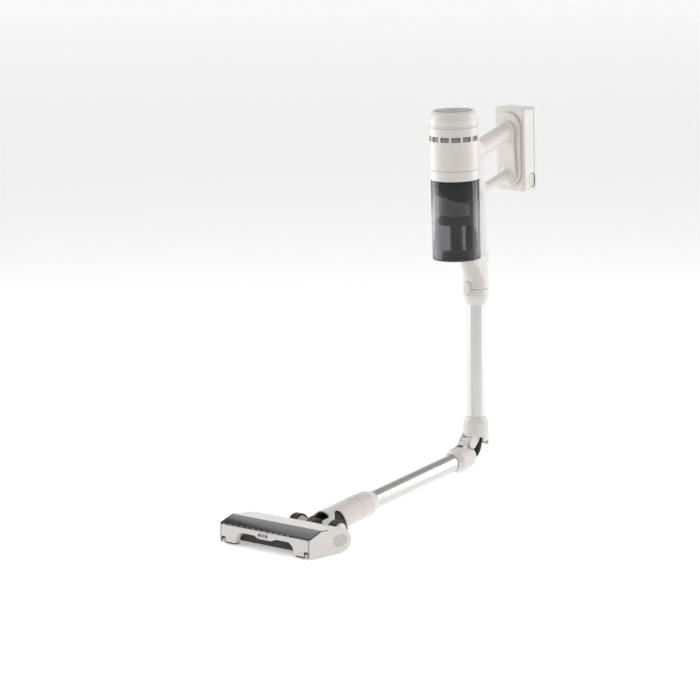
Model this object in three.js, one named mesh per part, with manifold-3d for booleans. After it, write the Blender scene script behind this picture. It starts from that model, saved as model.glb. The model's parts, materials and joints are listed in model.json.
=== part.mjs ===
// A cordless stick vacuum with a folding wand, shown with the wand folded towards the floor head.
// Millimetres, +Z up. The front (floor head) is towards -Y, the handle and battery towards +Y, and X = 0 is
// the plane of symmetry. The origin is the middle of the hand grip.
import * as THREE from "three";
import { ConvexGeometry } from "three/addons/geometries/ConvexGeometry.js";
import { mergeVertices } from "three/addons/utils/BufferGeometryUtils.js";
import Module from "manifold-3d";

const wasm = await Module();
wasm.setup();

// ---------------------------------------------------------------- driving dimensions
const GAP = 0.3; // clearance between pieces that sit against each other
const SHELL = 2.4; // wall of the moulded casings
const LAP = 0.5; // how far stacked solids of one piece run into each other

// wand
const TUBE_R = 17.5;
const TUBE_WALL = 1.4;
const SLEEVE_R = 25.6; // collars, couplings, neck and swivel barrel
const MOUTH_LIP = 1.1; // lip of a collar's mouth around the tube
const UPPER_TUBE_SHOWN = 222.6;
const LOWER_TUBE_SHOWN = 236;
const COLLAR_TAPER = 11;
const COLLAR_STRAIGHT = 28;
const COUPLING_TAPER = 19.2;
const UPPER_COUPLING_STRAIGHT = 14.3;
const LOWER_COUPLING_STRAIGHT = 34.3;
const SPIGOT_R = 19.4;
const SPIGOT_LENGTH = 19;
const TUBE_INSET = 22; // how far a tube runs into its collar or coupling
const REST_SLOPE = 9.23; // degrees that the lower wand rises from the floor head

// fold joint
const KNUCKLE_R = 10.5;
const KNUCKLE_HALF = 10.5;
const EAR_WIDTH = 5.7;
const FOLD_PIN_R = 3.2;
const COLLAR_DROP = 11.4; // upper collar's rim above the fold pin
const LUG_DROP = 20; // rear lug below that rim
const LUG_WALL = 3;
const SKIRT_DROP = 8.5; // rear half of the upper collar below the front of its rim
const FOLD_HOSE_R = 13.4;
const FOLD_KEY = { width: 14, height: 9, corner: 2.5, depth: 4, rise: 2 };
const LOWER_COLLAR_LENGTH = 41.2; // from the fold pin's foot to the start of the mouth taper

// release buttons on the couplings
const BUTTON_WIDTH = 16;
const BUTTON_LENGTH = 27;
const BUTTON_PROUD = 0.8;
const BUTTON_GAP = 0.4;

// handheld unit, in its own tilted frame: z = 0 is the underside of the dust cup
const HAND_TILT = 1.98; // degrees
const CUP_SETBACK = 57; // cup axis in front of the wand axis
const CUP_OVER_SEAM = 65; // cup underside above the neck seam
const BODY_R = 47.6;
const CUP_R = 47.5;
const CUP_WALL = 2.2;
const CUP_CLEAR = 0.4; // between the cup and the spine behind it
const CUP_TOP = 156.2;
const CUP_FLOOR = 4;
const COLLAR_TOP = 176.2;
const VENT_LOW = 233.2;
const VENT_HIGH = 242.9;
const VENT_COUNT = 13; // places round the body; those behind the spine stay closed
const VENT_FIRST = 17.9; // degrees from the front to the first one
const VENT_SPAN = 22; // degrees
const CAP_SEAM = 259.6;
const SHOULDER_START = 271.7;
const BODY_TOP = 290.7;
const LENS_R = 37.8;
const LENS_THICK = 3;
const INLET_Z = 85;
const DUCT_R = 13.2;
const DUCT_WALL = 1.5;
const DUCT_Y = CUP_R + 18.5;
const SPINE_HALF = 16.5;
const PORT_Y = CUP_R + GAP; // front of the spine, against the cup

// hand grip, brace and battery
const GRIP_R = 18;
const GRIP_RISE = 15.9; // degrees
const GRIP_ROOT_Y = 50;
const GRIP_ROOT_Z = 200.7;
const BRACE_R = 9.8;
const BRACE_RISE = 17;
const BRACE_ROOT_Y = 76;
const BRACE_ROOT_Z = 122.5;
const DOCK_THICK = 5.5;
const DOCK_HALF = 30;
const DOCK_HEIGHT = 146;
const DOCK_MIDDLE_Z = 195.3;
const BATTERY_FRONT = 166.4;
const BATTERY_DEPTH = 42;
const BATTERY_COVER = 12;
const BATTERY_HALF = 37.3;
const BATTERY_LOW = 111.6;
const BATTERY_HEIGHT = 165.7;
const BATTERY_CORNER = 8;
const BATTERY_BUTTON = { y: 189.7, z: 133.2, width: 15, height: 27, travel: 2.5 };
const CELL_R = 9.1;
const CELL_PITCH = 16.6;
const CELL_LENGTH = 65;

// swivel neck and floor head: y measured from the wheel axle, z from the floor
const BARREL_LENGTH = 103; // neck seam to the tilt pivot
const BARREL_WALL = 3.2;
const FORK_HALF = 19.4; // half the gap between the fork arms, seen from above
const FORK_REACH = 17.5; // that gap's far end behind the pivot
const AXIS_OVER_PIVOT = 2.7;
const PIVOT_EYE_R = 11;
const PIVOT_STUD_R = 3.2;
const BALL_R = 18.5;
const WHEEL_R = 21.5;
const CHEEK_CLEAR = 2.4; // cradle cheeks beside the swivel barrel
const CHEEK_THICK = 6;
const CHEEK_INNER = SLEEVE_R + CHEEK_CLEAR;
const CHEEK_OUTER = CHEEK_INNER + CHEEK_THICK;
const WHEEL_INNER = CHEEK_OUTER + 7;
const WHEEL_WIDTH = 18.5;
const AXLE_R = 4;
const HEAD_HALF = 115.2;
const CAP_THICK = 2.8;
const HEAD_FRONT = 145.4;
const HEAD_FRONT_TOP = 39.1;
const WINDOW_REAR = 114;
const WINDOW_REAR_TOP = 50.5;
const WINDOW_THICK = 2.2;
const HEAD_REAR = 31;
const HEAD_LOW = 1.5;
const BASE_THICK = 2.4;
const ENTRY_HALF = 77.5; // the front opening at the floor, open through the base plate
const BRUSH_Y = -112;
const BRUSH_Z = 22.9;
const BRUSH_R = 20.2;
const BRUSH_CORE_R = 14;
const BRUSH_HALF = 97;
const BRUSH_GEAR_R = 8.6;
const MOTOR_PULLEY_R = 6.6;
const BRUSH_MOTOR = { y: -61.8, z: 23.5, radius: 13, from: 30, to: 95 };
const ROLLER_R = 5.5;
const ROLLER_X = 106.6;
const NOTCH_HALF = 5.3;
const NOTCH_HEIGHT = 14;
const SWIVEL_R = 16;

// ---------------------------------------------------------------- finishes
const finish = (color, roughness, metalness = 0) =>
  new THREE.MeshStandardMaterial({ color, roughness, metalness });
const white = () => finish("#e6e2dd", 0.45);
const satinAluminium = () => finish("#c9c8c6", 0.35, 0.9);
const steel = () => finish("#a9abad", 0.3, 1);
const smoked = () => finish("#2b2c2e", 0.1);
const darkPlastic = () => finish("#2a2a2c", 0.4);
const blackRubber = () => finish("#1b1b1c", 0.8);
const circuitGreen = () => finish("#1f4a33", 0.5);
const meshGrey = () => finish("#8d8d8c", 0.5, 0.4);

// ---------------------------------------------------------------- shape helpers
const rad = THREE.MathUtils.degToRad;
const point = (x, y, z) => new THREE.Vector3(x, y, z);

// Sides of round pieces: the body and cup, the wand and its sleeves, small pieces.
const BIG = 32;
const MID = 22;
const SMALL = 12;

// A closed geometry as a solid.
function solid(geometry) {
  const bare = geometry.clone();
  bare.deleteAttribute("normal");
  bare.deleteAttribute("uv");
  const merged = mergeVertices(bare, 1e-4);
  return new wasm.Manifold(
    new wasm.Mesh({
      numProp: 3,
      vertProperties: new Float32Array(merged.attributes.position.array),
      triVerts: new Uint32Array(merged.index.array),
    }),
  );
}

const join = (first, ...others) => others.reduce((all, next) => all.add(next), first);
const cut = (base, ...tools) => tools.reduce((rest, tool) => rest.subtract(tool), base);

// Adds a solid to a group as a named mesh.
function part(group, name, shape, material) {
  const { vertProperties, triVerts } = shape.getMesh();
  const geometry = new THREE.BufferGeometry();
  geometry.setAttribute("position", new THREE.BufferAttribute(new Float32Array(vertProperties), 3));
  geometry.setIndex(new THREE.BufferAttribute(new Uint32Array(triVerts), 1));
  geometry.computeVertexNormals();
  const mesh = new THREE.Mesh(geometry, material);
  mesh.name = name;
  group.add(mesh);
}

// A profile of [radius, height] points, counterclockwise, turned about Z.
const turned = (profile, segments = MID) =>
  solid(
    new THREE.LatheGeometry(
      profile.map(([r, z]) => new THREE.Vector2(r, z)),
      segments,
    ).rotateX(Math.PI / 2),
  );

function ring(outer, inner, low, high, segments = MID) {
  return turned(
    [
      [inner, low],
      [outer, low],
      [outer, high],
      [inner, high],
      [inner, low],
    ],
    segments,
  );
}

const disc = (radius, low, high, segments = MID) =>
  turned(
    [
      [0, low],
      [radius, low],
      [radius, high],
      [0, high],
    ],
    segments,
  );

// A round rod between two points.
function rodGeometry(from, to, radius, segments = SMALL) {
  const along = to.clone().sub(from);
  return new THREE.CylinderGeometry(radius, radius, along.length(), segments)
    .rotateX(Math.PI / 2)
    .translate(0, 0, along.length() / 2)
    .applyQuaternion(
      new THREE.Quaternion().setFromUnitVectors(point(0, 0, 1), along.clone().normalize()),
    )
    .translate(from.x, from.y, from.z);
}
const rod = (from, to, radius, segments) => solid(rodGeometry(from, to, radius, segments));
const rodX = (y, z, from, to, radius, segments) =>
  rod(point(from, y, z), point(to, y, z), radius, segments);

const box = (x0, x1, y0, y1, z0, z1) =>
  solid(
    new THREE.BoxGeometry(x1 - x0, y1 - y0, z1 - z0).translate(
      (x0 + x1) / 2,
      (y0 + y1) / 2,
      (z0 + z1) / 2,
    ),
  );

const hull = (points) => solid(new ConvexGeometry(points));

// Points of a circle about an axis through `at`: "x", "y" or "z".
function circlePoints(axis, at, radius, count = 24) {
  return Array.from({ length: count }, (_, i) => {
    const a = (i / count) * 2 * Math.PI;
    const [u, v] = [radius * Math.cos(a), radius * Math.sin(a)];
    const offset = { x: point(0, u, v), y: point(u, 0, v), z: point(u, v, 0) }[axis];
    return offset.add(at);
  });
}

const outline = (points) => new THREE.Shape(points.map(([a, b]) => new THREE.Vector2(a, b)));

// Extrudes a shape drawn in (y, z) along X.
function alongX(shape, from, to, curveSegments = 5) {
  const basis = new THREE.Matrix4().makeBasis(point(0, 1, 0), point(0, 0, 1), point(1, 0, 0));
  return solid(
    new THREE.ExtrudeGeometry(shape, { depth: to - from, bevelEnabled: false, curveSegments })
      .applyMatrix4(basis)
      .translate(from, 0, 0),
  );
}

// Extrudes a shape drawn in (x, z) from y = back towards -Y.
function towardsFrontGeometry(shape, back, front, curveSegments = 5) {
  const basis = new THREE.Matrix4().makeBasis(point(1, 0, 0), point(0, 0, 1), point(0, -1, 0));
  const depth = back - front;
  return new THREE.ExtrudeGeometry(shape, { depth, bevelEnabled: false, curveSegments })
    .applyMatrix4(basis)
    .translate(0, back, 0);
}
const towardsFront = (shape, back, front, curveSegments) =>
  solid(towardsFrontGeometry(shape, back, front, curveSegments));

function roundedRect(width, height, radius, middle = [0, 0]) {
  const shape = new THREE.Shape();
  const [x, y] = [middle[0] - width / 2, middle[1] - height / 2];
  shape.moveTo(x + radius, y);
  shape.lineTo(x + width - radius, y);
  shape.absarc(x + width - radius, y + radius, radius, -Math.PI / 2, 0);
  shape.lineTo(x + width, y + height - radius);
  shape.absarc(x + width - radius, y + height - radius, radius, 0, Math.PI / 2);
  shape.lineTo(x + radius, y + height);
  shape.absarc(x + radius, y + height - radius, radius, Math.PI / 2, Math.PI);
  shape.lineTo(x, y + radius);
  shape.absarc(x + radius, y + radius, radius, Math.PI, 1.5 * Math.PI);
  return shape;
}

// ---------------------------------------------------------------- where things are, in the wand's frame
const slope = rad(REST_SLOPE);
// The fold pin lies in front of the wand by the sleeves' radius, so both halves line up when straight.
const PIN_OVER_AXIS = (SLEEVE_R * (1 - Math.sin(slope))) / Math.cos(slope);
const PIN_FOOT = -SLEEVE_R * Math.cos(slope) + PIN_OVER_AXIS * Math.sin(slope);
const lowerMouth = PIN_FOOT - LOWER_COLLAR_LENGTH - COLLAR_TAPER;
const lowerCoupling = lowerMouth - LOWER_TUBE_SHOWN;
const headSeam = lowerCoupling - COUPLING_TAPER - LOWER_COUPLING_STRAIGHT;
const tiltPivot = headSeam - BARREL_LENGTH;
const lowerAxisHeight =
  WHEEL_R - tiltPivot * Math.sin(slope) + AXIS_OVER_PIVOT * Math.cos(slope);
const pinHeight = lowerAxisHeight + PIN_OVER_AXIS;
const axleY = tiltPivot * Math.cos(slope) + AXIS_OVER_PIVOT * Math.sin(slope);
const upperRim = pinHeight + COLLAR_DROP;
const upperMouth = upperRim + COLLAR_STRAIGHT + COLLAR_TAPER;
const upperCoupling = upperMouth + UPPER_TUBE_SHOWN;
const neckSeam = upperCoupling + COUPLING_TAPER + UPPER_COUPLING_STRAIGHT;

const gripAt = (y) => GRIP_ROOT_Z + (y - GRIP_ROOT_Y) * Math.tan(rad(GRIP_RISE));
const braceAt = (y) => BRACE_ROOT_Z + (y - BRACE_ROOT_Y) * Math.tan(rad(BRACE_RISE));
const DOCK_FRONT = BATTERY_FRONT - GAP - DOCK_THICK;
const GRIP_MIDDLE_Y = 118;

const vacuum = new THREE.Group();
const wandFrame = new THREE.Group();
vacuum.add(wandFrame);

const handheld = new THREE.Group();
handheld.position.set(0, -CUP_SETBACK, neckSeam + CUP_OVER_SEAM);
handheld.rotation.x = rad(HAND_TILT);
wandFrame.add(handheld);
handheld.updateMatrix();
const intoHandheld = handheld.matrix.clone().invert();

const ductFoot = point(0, 0, neckSeam + SPIGOT_LENGTH + 4).applyMatrix4(intoHandheld);
const gripMiddle = point(0, GRIP_MIDDLE_Y, gripAt(GRIP_MIDDLE_Y)).applyMatrix4(handheld.matrix);
wandFrame.position.copy(gripMiddle).negate();

// ---------------------------------------------------------------- top of the handheld unit
function buildTop() {
  const inner = BODY_R - SHELL;
  const shoulder = [];
  const steps = 6;
  for (let i = 0; i <= steps; i += 1) {
    const a = (i / steps) * (Math.PI / 2);
    shoulder.push([
      LENS_R + GAP + (BODY_R - LENS_R - GAP) * Math.cos(a),
      SHOULDER_START + (BODY_TOP - SHOULDER_START) * Math.sin(a),
    ]);
  }
  const ledge = BODY_TOP - LENS_THICK - GAP;
  const cap = turned(
    [
      [inner, CAP_SEAM + GAP],
      [BODY_R, CAP_SEAM + GAP],
      ...shoulder,
      [LENS_R + GAP, ledge],
      [LENS_R - 3, ledge],
      [LENS_R - 3, ledge - 2],
      [LENS_R + 2, ledge - 2.5],
      [inner, SHOULDER_START],
      [inner, CAP_SEAM + GAP],
    ],
    BIG,
  );
  part(handheld, "top_cap", cap, white());

  const keyR = 7;
  const lens = ring(LENS_R, keyR + GAP, BODY_TOP - LENS_THICK, BODY_TOP, BIG);
  part(handheld, "display_lens", lens, smoked());
  part(handheld, "power_button", disc(keyR, BODY_TOP - LENS_THICK, BODY_TOP + 0.2, MID), smoked());
  part(handheld, "display_board", disc(LENS_R - 4, ledge - 2.4, ledge - 0.8, MID), circuitGreen());
}

// ---------------------------------------------------------------- motor section
function buildMotorSection() {
  const inner = BODY_R - SHELL;
  const windows = [];
  const pitch = 360 / VENT_COUNT;
  for (let i = 0; i < VENT_COUNT; i += 1) {
    const middle = VENT_FIRST + pitch * i;
    const facesSpine = Math.abs(middle - 180) < pitch;
    if (facesSpine) continue;
    windows.push(ventWindow(middle));
  }
  const shell = cut(ring(BODY_R, inner, COLLAR_TOP + GAP, CAP_SEAM, BIG), ...windows);
  part(handheld, "motor_housing", shell, white());

  const grilleOuter = inner - GAP;
  const grille = ring(grilleOuter, grilleOuter - 1.5, VENT_LOW - 5, VENT_HIGH + 5, MID);
  part(handheld, "exhaust_grille", grille, meshGrey());

  const filter = ring(inner - 1, 32, VENT_HIGH + 9, CAP_SEAM + 9, MID);
  part(handheld, "exhaust_filter", filter, finish("#d8d6cf", 0.9));

  const canR = 29;
  const canLow = COLLAR_TOP + 20;
  const shaftR = 3;
  part(handheld, "motor_can", ring(canR, shaftR + 0.5, canLow, canLow + 42, MID), steel());
  const mount = ring(grilleOuter, canR + GAP, canLow + 10, canLow + 16, MID);
  part(handheld, "motor_mount", mount, blackRubber());

  // The fan hangs from its shaft just below the can.
  const fanLow = COLLAR_TOP + 5;
  const bladeTop = fanLow + 10;
  const blades = Array.from({ length: 9 }, (_, i) =>
    solid(
      new THREE.BoxGeometry(15, 1.4, 7)
        .translate(15.5, 0, bladeTop - 4.5)
        .rotateZ((i / 9) * 2 * Math.PI),
    ),
  );
  const fan = join(
    disc(24, bladeTop - 1.5, bladeTop, MID),
    disc(9, fanLow, bladeTop, SMALL),
    disc(shaftR, fanLow, canLow + 36, 12),
    ...blades,
  );
  part(handheld, "impeller", fan, darkPlastic());
}

// A cutter for one vent window; the angle is measured round the body from the front.
function ventWindow(middleDegrees) {
  const half = rad(VENT_SPAN / 2);
  const middle = rad(middleDegrees - 90);
  const reach = BODY_R + 6;
  const corners = [middle - half, middle + half].flatMap((a) => [
    [reach * Math.cos(a), reach * Math.sin(a)],
    [(BODY_R - 8) * Math.cos(a), (BODY_R - 8) * Math.sin(a)],
  ]);
  return hull(
    corners.flatMap(([x, y]) => [point(x, y, VENT_LOW), point(x, y, VENT_HIGH)]),
  );
}

// ---------------------------------------------------------------- dust cup and cyclone
function buildDustCup() {
  // The release key sits in the collar's left side.
  const key = (grow, from, to) =>
    alongX(
      roundedRect(16 + 2 * grow, 8 + 2 * grow, 3.5, [0, CUP_TOP + 12.5]),
      -to,
      -from,
    );
  const collar = cut(
    ring(BODY_R, 24, CUP_TOP + GAP, COLLAR_TOP, BIG),
    ring(BODY_R - SHELL, 10, CUP_TOP + 7, COLLAR_TOP + 1, MID),
    key(BUTTON_GAP, BODY_R - 7, BODY_R + 5),
  );
  part(handheld, "cup_collar", collar, white());
  part(handheld, "cup_button", key(0, BODY_R - 4, BODY_R + 0.3), white());

  const inner = CUP_R - CUP_WALL;
  const inletR = DUCT_R - DUCT_WALL;
  const inlet = rod(point(0, inner - 12, INLET_Z), point(0, CUP_R + 5, INLET_Z), inletR, SMALL);
  const shell = cut(ring(CUP_R, inner, CUP_FLOOR + GAP, CUP_TOP, BIG), inlet);
  part(handheld, "cup_shell", shell, smoked());

  const rim = turned(
    [
      [0, 0],
      [CUP_R - 1.2, 0],
      [CUP_R, 1.2],
      [CUP_R, CUP_FLOOR],
      [0, CUP_FLOOR],
    ],
    BIG,
  );
  part(handheld, "cup_floor", rim, smoked());

  // The shroud's lower edge falls by this slope across the cup, from left to right.
  const shroudR = inner - GAP - 0.5;
  const shroudMiddle = 118;
  const fall = Math.tan(rad(15));
  const low = shroudMiddle - 60;
  const slab = hull(
    [-60, 60].flatMap((x) =>
      [-60, 60].flatMap((y) => [
        point(x, y, low - 40),
        point(x, y, shroudMiddle - x * fall * 0.74 - y * fall * 0.68),
      ]),
    ),
  );
  const filterR = 27;
  const shroud = cut(ring(shroudR, filterR + 2.5 + GAP, 90, CUP_TOP - 4, MID), slab);
  part(handheld, "cyclone_shroud", shroud, darkPlastic());
  const foam = ring(filterR, 13, CUP_TOP - 24, CUP_TOP - 2, MID);
  part(handheld, "prefilter", foam, finish("#77797c", 0.95));

  const meshLow = 86;
  const mesh = ring(filterR + 2.5, filterR + GAP, meshLow, CUP_TOP - 3, MID);
  part(handheld, "mesh_filter", mesh, meshGrey());

  const skirtLow = 69;
  const skirt = turned(
    [
      [12.4 + GAP, skirtLow + 3],
      [33.5, skirtLow],
      [35.5, skirtLow + 2],
      [31.5, meshLow - GAP],
      [12.4 + GAP, meshLow - GAP],
      [12.4 + GAP, skirtLow + 3],
    ],
    MID,
  );
  part(handheld, "cyclone_skirt", skirt, darkPlastic());

  const dustCupTop = 18;
  part(handheld, "cyclone_tube", ring(12.4, 10, dustCupTop + GAP, 128, MID), darkPlastic());
  const fineCup = turned(
    [
      [0, CUP_FLOOR + GAP],
      [30, CUP_FLOOR + GAP],
      [28.5, dustCupTop],
      [26.5, dustCupTop],
      [27, CUP_FLOOR + GAP + 2],
      [0, CUP_FLOOR + GAP + 2],
    ],
    MID,
  );
  part(handheld, "fine_dust_cup", fineCup, darkPlastic());
}

// ---------------------------------------------------------------- spine, grip and neck
// One level of the spine: flat at the front, rounded at the back.
function spineLevel(z, front, back, half = SPINE_HALF, inset = 0) {
  const width = half - inset;
  const round = circlePoints("z", point(0, 0, 0), width, SMALL)
    .filter((p) => p.y >= -1e-6)
    .map((p) => point(p.x, back - inset - width + p.y, z));
  return [point(-width, front + inset, z), point(width, front + inset, z), ...round];
}

// Consecutive levels of the spine skinned together.
function spineBody(inset) {
  const front = CUP_R - 9.5 + inset * 2.5;
  const levels = [
    [-10, CUP_R + 2, CUP_R + 36.2],
    [0, CUP_R - 9.5, CUP_R + 36.3],
    [112, CUP_R - 9.5, CUP_R + 35.5],
    [137, CUP_R - 9.5, CUP_R + 32.1],
    [187, CUP_R - 9.5, CUP_R + 27.5],
    [228, CUP_R - 9.5, CUP_R + 18.5],
    [246, CUP_R - 9.5, CUP_R + 10.5],
    [CAP_SEAM + 3, CUP_R - 9.5, CUP_R + 7.5],
  ];
  const usable = levels.map(([z, f, b]) => [z, Math.max(f, front), b]);
  const pieces = [];
  for (let i = 0; i + 1 < usable.length; i += 1) {
    const [[z0, f0, b0], [z1, f1, b1]] = [usable[i], usable[i + 1]];
    pieces.push(
      hull([
        ...spineLevel(z0, f0, b0, SPINE_HALF, inset),
        ...spineLevel(z1 + LAP, f1, b1, SPINE_HALF, inset),
      ]),
    );
  }
  return join(...pieces);
}

// The neck from the seam up to the spine, drawn in the wand's frame.
function neckBody(inset) {
  const straightTop = neckSeam + 16;
  const crown = neckSeam + 56;
  const spineRoot = spineLevel(-10, CUP_R + 2, CUP_R + 36.2, SPINE_HALF, inset).map((p) =>
    p.applyMatrix4(handheld.matrix),
  );
  const crownHalf = 18 - inset;
  const crownPoints = [-17, 6].flatMap((y) =>
    circlePoints("z", point(0, y, crown), crownHalf, MID),
  );
  const circle = circlePoints("z", point(0, 0, straightTop), SLEEVE_R - inset, MID);
  const lapped = circle.map((p) => p.clone().add(point(0, 0, LAP)));
  const crownLapped = crownPoints.map((p) => p.clone().add(point(0, 0, LAP)));
  const low = circlePoints("z", point(0, 0, neckSeam + GAP), SLEEVE_R - inset, MID);
  const lower = new ConvexGeometry([...low, ...lapped]).applyMatrix4(intoHandheld);
  const middle = new ConvexGeometry([...circle, ...crownLapped]).applyMatrix4(intoHandheld);
  const upper = new ConvexGeometry([...crownPoints, ...spineRoot]).applyMatrix4(intoHandheld);
  return join(solid(lower), solid(middle), solid(upper));
}

function wandRod(fromZ, toZ, radius, segments = MID) {
  return solid(
    rodGeometry(point(0, 0, fromZ), point(0, 0, toZ), radius, segments).applyMatrix4(intoHandheld),
  );
}

function buildHandle() {
  const gripEnd = point(0, DOCK_FRONT - GAP, gripAt(DOCK_FRONT - GAP));
  const braceEnd = point(0, DOCK_FRONT - GAP, braceAt(DOCK_FRONT - GAP));
  const gripStart = point(0, GRIP_ROOT_Y, gripAt(GRIP_ROOT_Y));
  const braceStart = point(0, BRACE_ROOT_Y - 6, braceAt(BRACE_ROOT_Y - 6));
  const beyond = (end, rise) => end.clone().add(point(0, 8, 8 * Math.tan(rad(rise))));
  const flare = (end, radius, rootRadius, rise, length) =>
    hull([
      ...circlePoints("y", end, rootRadius, MID),
      ...circlePoints(
        "y",
        end.clone().sub(point(0, length, length * Math.tan(rad(rise)))),
        radius,
        28,
      ),
    ]);
  const outer = join(
    spineBody(0),
    neckBody(0),
    rod(gripStart, beyond(gripEnd, GRIP_RISE), GRIP_R, MID),
    rod(braceStart, beyond(braceEnd, BRACE_RISE), BRACE_R, SMALL),
    flare(gripEnd, GRIP_R * 0.98, GRIP_R + 4, GRIP_RISE, 10),
    flare(braceEnd, BRACE_R * 0.98, BRACE_R + 4, BRACE_RISE, 9),
  );
  const hollow = join(
    spineBody(SHELL),
    rod(
      point(0, GRIP_ROOT_Y + 8, gripAt(GRIP_ROOT_Y + 8)),
      beyond(gripEnd, GRIP_RISE),
      GRIP_R - SHELL,
      24,
    ),
    rod(braceStart, beyond(braceEnd, BRACE_RISE), BRACE_R - SHELL, 16),
    cut(neckBody(SHELL), wandRod(neckSeam - 1, neckSeam + SPIGOT_LENGTH + 3.5, 40)),
    wandRod(neckSeam, neckSeam + SPIGOT_LENGTH + 1, SPIGOT_R + 0.4),
    wandRod(neckSeam + SPIGOT_LENGTH, neckSeam + SPIGOT_LENGTH + 20, DUCT_R + 2 * GAP, SMALL),
    ductRun(DUCT_R + 2 * GAP, PORT_Y - 5),
  );
  const bodyClear = join(
    disc(CUP_R + CUP_CLEAR, -1, CUP_TOP + LAP, BIG),
    disc(BODY_R + GAP, CUP_TOP, CAP_SEAM + 40, BIG),
  );
  const behindDock = box(-60, 60, DOCK_FRONT - GAP, DOCK_FRONT + 40, 60, 330);
  const port = rod(point(0, 30, INLET_Z), point(0, 70, INLET_Z), DUCT_R + GAP, SMALL);
  const keyRoom = solid(
    wandKeyGeometry(BUTTON_GAP, SPIGOT_R - 1, SLEEVE_R + 6).applyMatrix4(intoHandheld),
  );
  const whole = cut(outer, hollow, bodyClear, behindDock, port, keyRoom);
  const seam = GAP / 2;
  const left = whole.intersect(box(-200, -seam, -200, 300, -200, 400));
  const right = whole.intersect(box(seam, 200, -200, 300, -200, 400));
  part(handheld, "handle_shell_left", left, white());
  part(handheld, "handle_shell_right", right, white());
}

// The wand's oval release key, or room for it when grown, in the wand's frame.
function wandKeyGeometry(grow, innerR, outerR) {
  const shape = roundedRect(
    BUTTON_WIDTH + 2 * grow,
    BUTTON_LENGTH + 2 * grow,
    BUTTON_WIDTH / 2 + grow,
    [0, neckSeam + 2],
  );
  return towardsFrontGeometry(shape, -innerR, -outerR);
}

// ---------------------------------------------------------------- inside the spine
// The dirt duct's outside at a given radius: up the spine from the neck, then forwards to the cup.
function ductRun(radius, portY) {
  const bend = point(0, DUCT_Y, INLET_Z);
  const turn = point(0, DUCT_Y, 22);
  return join(
    rod(ductFoot, turn, radius, SMALL),
    rod(turn, bend, radius, SMALL),
    rod(bend, point(0, portY, INLET_Z), radius, SMALL),
    ball(turn, radius),
    ball(bend, radius),
  );
}

function buildSpineInside() {
  const bore = DUCT_R - DUCT_WALL;
  const openFoot = rod(ductFoot.clone().add(point(0, 0, -4)), ductFoot, bore, SMALL);
  const duct = cut(ductRun(DUCT_R, PORT_Y + GAP), ductRun(bore, PORT_Y - 2), openFoot);
  part(handheld, "dirt_duct", duct, darkPlastic());
  const boardY = DUCT_Y - 3;
  const boardLow = INLET_Z + DUCT_R + 3;
  const board = box(-11, 11, boardY, boardY + 1.6, boardLow, boardLow + 65);
  part(handheld, "control_board", board, circuitGreen());
}

const ball = (at, radius, segments = SMALL) =>
  solid(
    new THREE.SphereGeometry(radius, segments, Math.round(segments / 2)).translate(
      at.x,
      at.y,
      at.z,
    ),
  );

// ---------------------------------------------------------------- battery and its dock
function buildBattery() {
  const dockShape = roundedRect(2 * DOCK_HALF, DOCK_HEIGHT, DOCK_HALF, [0, DOCK_MIDDLE_Z]);
  const dockBack = BATTERY_FRONT - GAP;
  const dock = towardsFront(dockShape, dockBack, dockBack - DOCK_THICK, 8);
  part(handheld, "battery_dock", dock, white());

  const middleZ = BATTERY_LOW + BATTERY_HEIGHT / 2;
  const back = BATTERY_FRONT + BATTERY_DEPTH;
  const coverFront = back - BATTERY_COVER;
  const caseOutline = (inset) =>
    roundedRect(
      2 * (BATTERY_HALF - inset),
      BATTERY_HEIGHT - 2 * inset,
      BATTERY_CORNER - inset,
      [0, middleZ],
    );
  const button = BATTERY_BUTTON;
  const pocket = (side, grow, from, to) =>
    sideButton(side, button.width + 2 * grow, button.height + 2 * grow, from, to);
  const pockets = [-1, 1].map((side) => pocket(side, BUTTON_GAP, BATTERY_HALF - 6, BATTERY_HALF + 6));
  const caseBody = cut(
    towardsFront(caseOutline(0), coverFront, BATTERY_FRONT),
    towardsFront(caseOutline(SHELL), coverFront + 1, BATTERY_FRONT + SHELL),
    ...pockets,
  );
  part(handheld, "battery_case", caseBody, white());

  const cover = cut(
    join(
      towardsFront(caseOutline(0), back - 4, coverFront + GAP),
      roundedBack(caseOutline, back),
    ),
    towardsFront(caseOutline(SHELL), back - SHELL - 1, coverFront - 1),
    ...pockets,
  );
  part(handheld, "battery_cover", cover, white());

  const cellRows = 6;
  const cells = [];
  for (let row = 0; row < cellRows; row += 1) {
    for (const column of [0, 1]) {
      cells.push(
        rodX(
          BATTERY_FRONT + SHELL + 0.6 + CELL_R + column * CELL_PITCH,
          BATTERY_LOW + 55 + row * CELL_PITCH,
          -CELL_LENGTH / 2,
          CELL_LENGTH / 2,
          CELL_R,
          10,
        ),
      );
    }
  }
  part(handheld, "battery_cells", join(...cells), finish("#3c5f8a", 0.5));

  const inner = BATTERY_HALF - 4.5;
  part(handheld, "battery_button_right", pocket(1, 0, inner, BATTERY_HALF + 0.4), white());
  part(handheld, "battery_button_left", pocket(-1, 0, inner, BATTERY_HALF + 0.4), white());
}

// An oval key in a side of the battery, from `from` to `to` outwards along X.
function sideButton(side, width, height, from, to) {
  const { y, z } = BATTERY_BUTTON;
  const shape = roundedRect(width, height, width / 2, [y, z]);
  return side > 0 ? alongX(shape, from, to) : alongX(shape, -to, -from);
}

// The back of the battery, with its rim rounded off.
function roundedBack(caseOutline, back) {
  const levels = [
    [4, 0],
    [2, 0.8],
    [0.7, 2],
    [0, 4],
  ];
  const points = levels.flatMap(([inwards, inset]) =>
    caseOutline(inset)
      .getPoints(4)
      .map((p) => point(p.x, back - inwards, p.y)),
  );
  return hull(points);
}

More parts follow.
